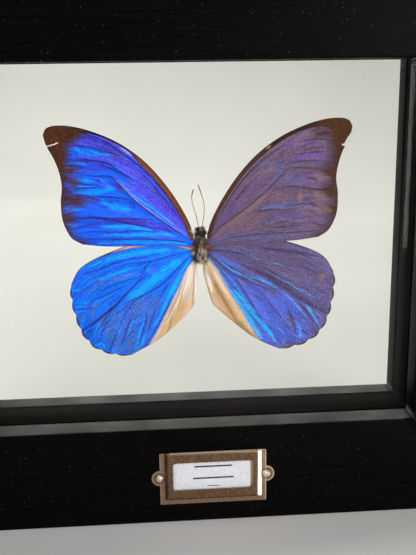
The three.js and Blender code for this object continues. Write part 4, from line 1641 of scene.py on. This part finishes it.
def aged_brass():
    """Browned brass sheet, satin and mottled. The film is worn away along the sheet's edges and inside
    the pocket. The edges are painted brighter towards the right and the right-hand step near white, as
    painted highlights; painted shade darkens the left and lower steps and rings each screw. Each place
    is found by its distance from the holder's middle."""
    material, add = new_material("aged_brass_sheet")
    coords = add(PLACE)
    x, y, z = add("ShaderNodeSeparateXYZ", {"Vector": coords}).outputs
    mottle = add(NOISE, coords, BRASS_MOTTLE, 5.0)
    fine = add(NOISE, coords, BRASS_GRAIN, 3.0)
    aside = add(MINUS, x, HOLDER_X * MM)
    off_x = add(WITHOUT_SIGN, aside)
    up = add(MINUS, z, EAR_HEIGHT * MM)
    out = add(MINUS, off_x, HOLDER_HALF_WIDTH * MM)
    squares = add(PLUS, add(POWER, up, 2.0), add(POWER, out, 2.0))
    reach = add(POWER, squares, 0.5)
    side_rim = between(add, off_x, HOLDER_HALF_WIDTH - 0.3, HOLDER_HALF_WIDTH)
    ear_edge = add(SOFT_STEP, reach, (EAR_RADIUS - 0.45) * MM, (EAR_RADIUS - 0.15) * MM)
    on_ear = add(SOFT_STEP, off_x, HOLDER_HALF_WIDTH * MM, (HOLDER_HALF_WIDTH + 0.1) * MM)
    ear_rim = add(TIMES, ear_edge, on_ear)
    top_rim = add(SOFT_STEP, z, (HOLDER_TOP - 0.3) * MM, (HOLDER_TOP - 0.1) * MM)
    in_window = between(add, off_x, -1, FACE_HALF_WIDTH - 0.8)
    behind = add(SOFT_STEP, y, FLANGE_FRONT * MM, (FLANGE_FRONT + 0.1) * MM)
    plate = add(TIMES, behind, in_window)
    above_foot = add(SOFT_STEP, z, (FACE_BOTTOM - 1) * MM, (FACE_BOTTOM - 0.4) * MM)
    on_step = between(add, aside, FACE_HALF_WIDTH, FACE_HALF_WIDTH + STEP_WIDTH)
    # The right-hand step, painted near white further down: a painted highlight where it faces the lamp.
    step_highlight = add(TIMES, above_foot, on_step)
    side_flange = add(SOFT_STEP, off_x, (FACE_HALF_WIDTH + STEP_WIDTH) * MM,
                      (FACE_HALF_WIDTH + STEP_WIDTH + 0.2) * MM)
    flange = add(LARGER, between(add, z, 0, FACE_BOTTOM - 1.3), side_flange)
    rims = add(LARGER, add(LARGER, top_rim, side_rim), ear_rim)
    # The rims' wear is painted brighter towards the right: a painted highlight on the lit side.
    rims = add(TIMES, rims, add(SOFT_STEP, aside, 0, FACE_HALF_WIDTH * MM, 0.4, 0.85))
    # Wear on the rims, flange and back plate, plus the painted highlights of the right rims and step.
    rubbed_and_highlit = add(LARGER, rims, add(TIMES, flange, 0.16))
    rubbed_and_highlit = add(LARGER, rubbed_and_highlit, add(LARGER, plate, step_highlight))
    # Painted shade: the left and lower folds are darkened where shade falls in them.
    left_fold = between(add, aside, -FACE_HALF_WIDTH - 1.2, -FACE_HALF_WIDTH - 0.7, 0.3)
    low_fold = between(add, z, FACE_BOTTOM - 0.9, FACE_BOTTOM + 0.15)
    left_fold = add(TIMES, left_fold, above_foot)
    low_fold = add(TIMES, low_fold, between(add, off_x, -1, FACE_HALF_WIDTH + 0.4))
    painted_shade = add(LARGER, left_fold, low_fold)
    painted_shade = add(TIMES, painted_shade, add(SOFT_STEP, mottle, 0.3, 0.6, 0.9, 0.6))
    # A painted shadow in a ring round each screw, on its ear.
    screw_ring = add(SOFT_STEP, reach, (SCREW_RING - 0.5) * MM, SCREW_RING * MM, 0.75, 0.0)
    painted_shade = add(LARGER, painted_shade, screw_ring)
    film = add(BLEND, add(SOFT_STEP, mottle, 0.35, 0.68), hue("#664a38"), hue("#82664e"))
    tone = add(BLEND, add(SOFT_STEP, fine, 0.5, 0.8, 0.0, 0.35), film, hue("#ab9274"))
    tone = add(BLEND, rubbed_and_highlit, tone, hue("#e4c8a4"))
    # The painted highlight on the right-hand step.
    tone = add(BLEND, step_highlight, tone, hue("#f2ece0"))
    # The painted shade and shadows, in dark brown.
    tone = add(BLEND, painted_shade, tone, hue("#24170f"))
    rough = add(SOFT_STEP, mottle, 0.3, 0.7, 0.46, 0.36)
    metallic = add(SOFT_STEP, rubbed_and_highlit, 0, 1, 0.75, 0.4)
    bump = add(BUMP, fine, 0.25, 0.05 * MM)
    brass = add("ShaderNodeBsdfPrincipled", {
        "Base Color": tone, "Metallic": metallic, "Roughness": rough, "Normal": bump})
    add("ShaderNodeOutputMaterial", {"Surface": brass.outputs[0]})
    return material


brass_sheet = aged_brass()
holder = refinish("label_holder", brass_sheet)
weld = holder.modifiers.new("weld", "WELD")
weld.merge_threshold = WELD_GAP * MM
edge = holder.modifiers.new("rounded_folds", "BEVEL")
edge.width = FOLD_RADIUS * MM
edge.segments = 3
edge.limit_method = "ANGLE"
edge.angle_limit = np.radians(SHARPEST_FLAT)


# %% [markdown]
# ## Screws
#
# Two small round-headed screws hold it, plated with nickel. A dome is a polar grid: its height is
# a cosine of the distance from the middle. The cross recess is cut by the same formula, lowering
# every point that lies close to either arm of the cross.

# %% Screw heads
RECESS_HALF_WIDTH = 0.22
RECESS_REACH = 1.05
RECESS_DEPTH = 0.55
SCREW_DOME = 1.35
DOME_POWER = 0.75
SCREW_RINGS = 40
SCREW_COLUMNS = 72
HANDLING_MARKS = 3000.0
SCREW_STAINS = 1400.0


def nickel_plate():
    """Nickel plate over steel: a warm white metal, bright, with fine handling marks."""
    material, add = new_material("nickel_plate")
    coords = add(PLACE)
    marks = add(NOISE, coords, HANDLING_MARKS, 4.0)
    tone = add(BLEND, add(SOFT_STEP, marks, 0.4, 0.7), hue("#f2eadc"), hue("#cdbfaa"))
    stains = add(NOISE, coords, SCREW_STAINS, 3.0)
    tone = add(BLEND, add(SOFT_STEP, stains, 0.54, 0.62, 0.0, 0.5), tone, hue("#5c4a38"))
    rough = add(SOFT_STEP, marks, 0.3, 0.7, 0.42, 0.54)
    plate = add("ShaderNodeBsdfPrincipled", {
        "Base Color": tone, "Metallic": 1.0, "Roughness": rough})
    add("ShaderNodeOutputMaterial", {"Surface": plate.outputs[0]})
    return material


def screw_head(name, node_name, turn):
    """A dome over a disc, h cos(pi r / 2) ^ DOME_POWER high, less a cross-shaped recess, then a skirt."""
    low, high = solid_box(node_name)
    centre = (low + high) / 2
    radius = (high[0] - low[0]) / 2
    top = low[1]
    seat = top + SCREW_DOME
    share = np.linspace(0, 1, SCREW_RINGS)[:, None]
    angle = np.linspace(0, 2 * np.pi, SCREW_COLUMNS, endpoint=False)[None]
    x, z = share * radius * np.cos(angle), share * radius * np.sin(angle)
    dome = SCREW_DOME * np.cos(np.pi / 2 * share) ** DOME_POWER
    arm_x, arm_z = x * np.cos(turn) + z * np.sin(turn), z * np.cos(turn) - x * np.sin(turn)
    across = np.minimum(np.abs(arm_x), np.abs(arm_z))
    reach = np.maximum(np.abs(arm_x), np.abs(arm_z))
    cross = soft_step(RECESS_HALF_WIDTH + 0.1 - across, 0, 0.14) * soft_step(RECESS_REACH - reach, 0, 0.2)
    y = seat - dome + RECESS_DEPTH * cross
    front = np.stack(np.broadcast_arrays(centre[0] + x, y, centre[2] + z), -1)
    skirt = front[-1:] + np.array([0, 0.05, 0])
    points = np.vstack([front, skirt]).reshape(-1, 3)
    rows = len(front) + 1
    faces = grid_faces(rows, SCREW_COLUMNS, around=True) + end_caps(rows, SCREW_COLUMNS)[1:]
    piece = make_piece(name, points, faces, nickel)
    carry(piece, "nickel_screw", node_name)


nickel = nickel_plate()
screw_head("screw_head_left", "label_screw_left", 0.5)
screw_head("screw_head_right", "label_screw_right", 1.1)


# %% [markdown]
# ## The card
#
# A slip of uncoated white card slides in behind the window. It carries no writing, only three
# printed rules to write on, placed by the card's own height. The paper has a fibrous tooth.

# %% Card
CARD_X = 5
CARD_FIBRES = 1800.0
RULES = [(26.8, 8.4, 0.45), (21.3, 9, 0.45), (17.5, 2.8, 0.2)]


def ruled_card():
    """Uncoated card: a soft cool white, matt, with dark rules that fade at their worn ends."""
    material, add = new_material("ruled_card")
    coords = add(PLACE)
    fibres = add(NOISE, coords, CARD_FIBRES, 5.0)
    place = add("ShaderNodeSeparateXYZ", {"Vector": coords})
    colour = add(BLEND, add(SOFT_STEP, fibres, 0.35, 0.7), hue("#eef0f4"), hue("#d6dae2"))
    for height, half_length, half_width in RULES:
        off = add(WITHOUT_SIGN, add(MINUS, place.outputs[2], height * MM))
        line = add(SOFT_STEP, off, 0.6 * half_width * MM, half_width * MM, 1.0, 0.0)
        run = add(WITHOUT_SIGN, add(MINUS, place.outputs[0], CARD_X * MM))
        part = add(SOFT_STEP, run, (half_length - 0.3) * MM, half_length * MM, 1.0, 0.0)
        ink = add(TIMES, line, part)
        colour = add(BLEND, ink, colour, hue("#2a2a2c"))
    bump = add(BUMP, fibres, 0.3, 0.05 * MM)
    card = add("ShaderNodeBsdfPrincipled", {
        "Base Color": colour, "Roughness": 0.85, "Normal": bump})
    add("ShaderNodeOutputMaterial", {"Surface": card.outputs[0]})
    return material


refinish("label_card", ruled_card())
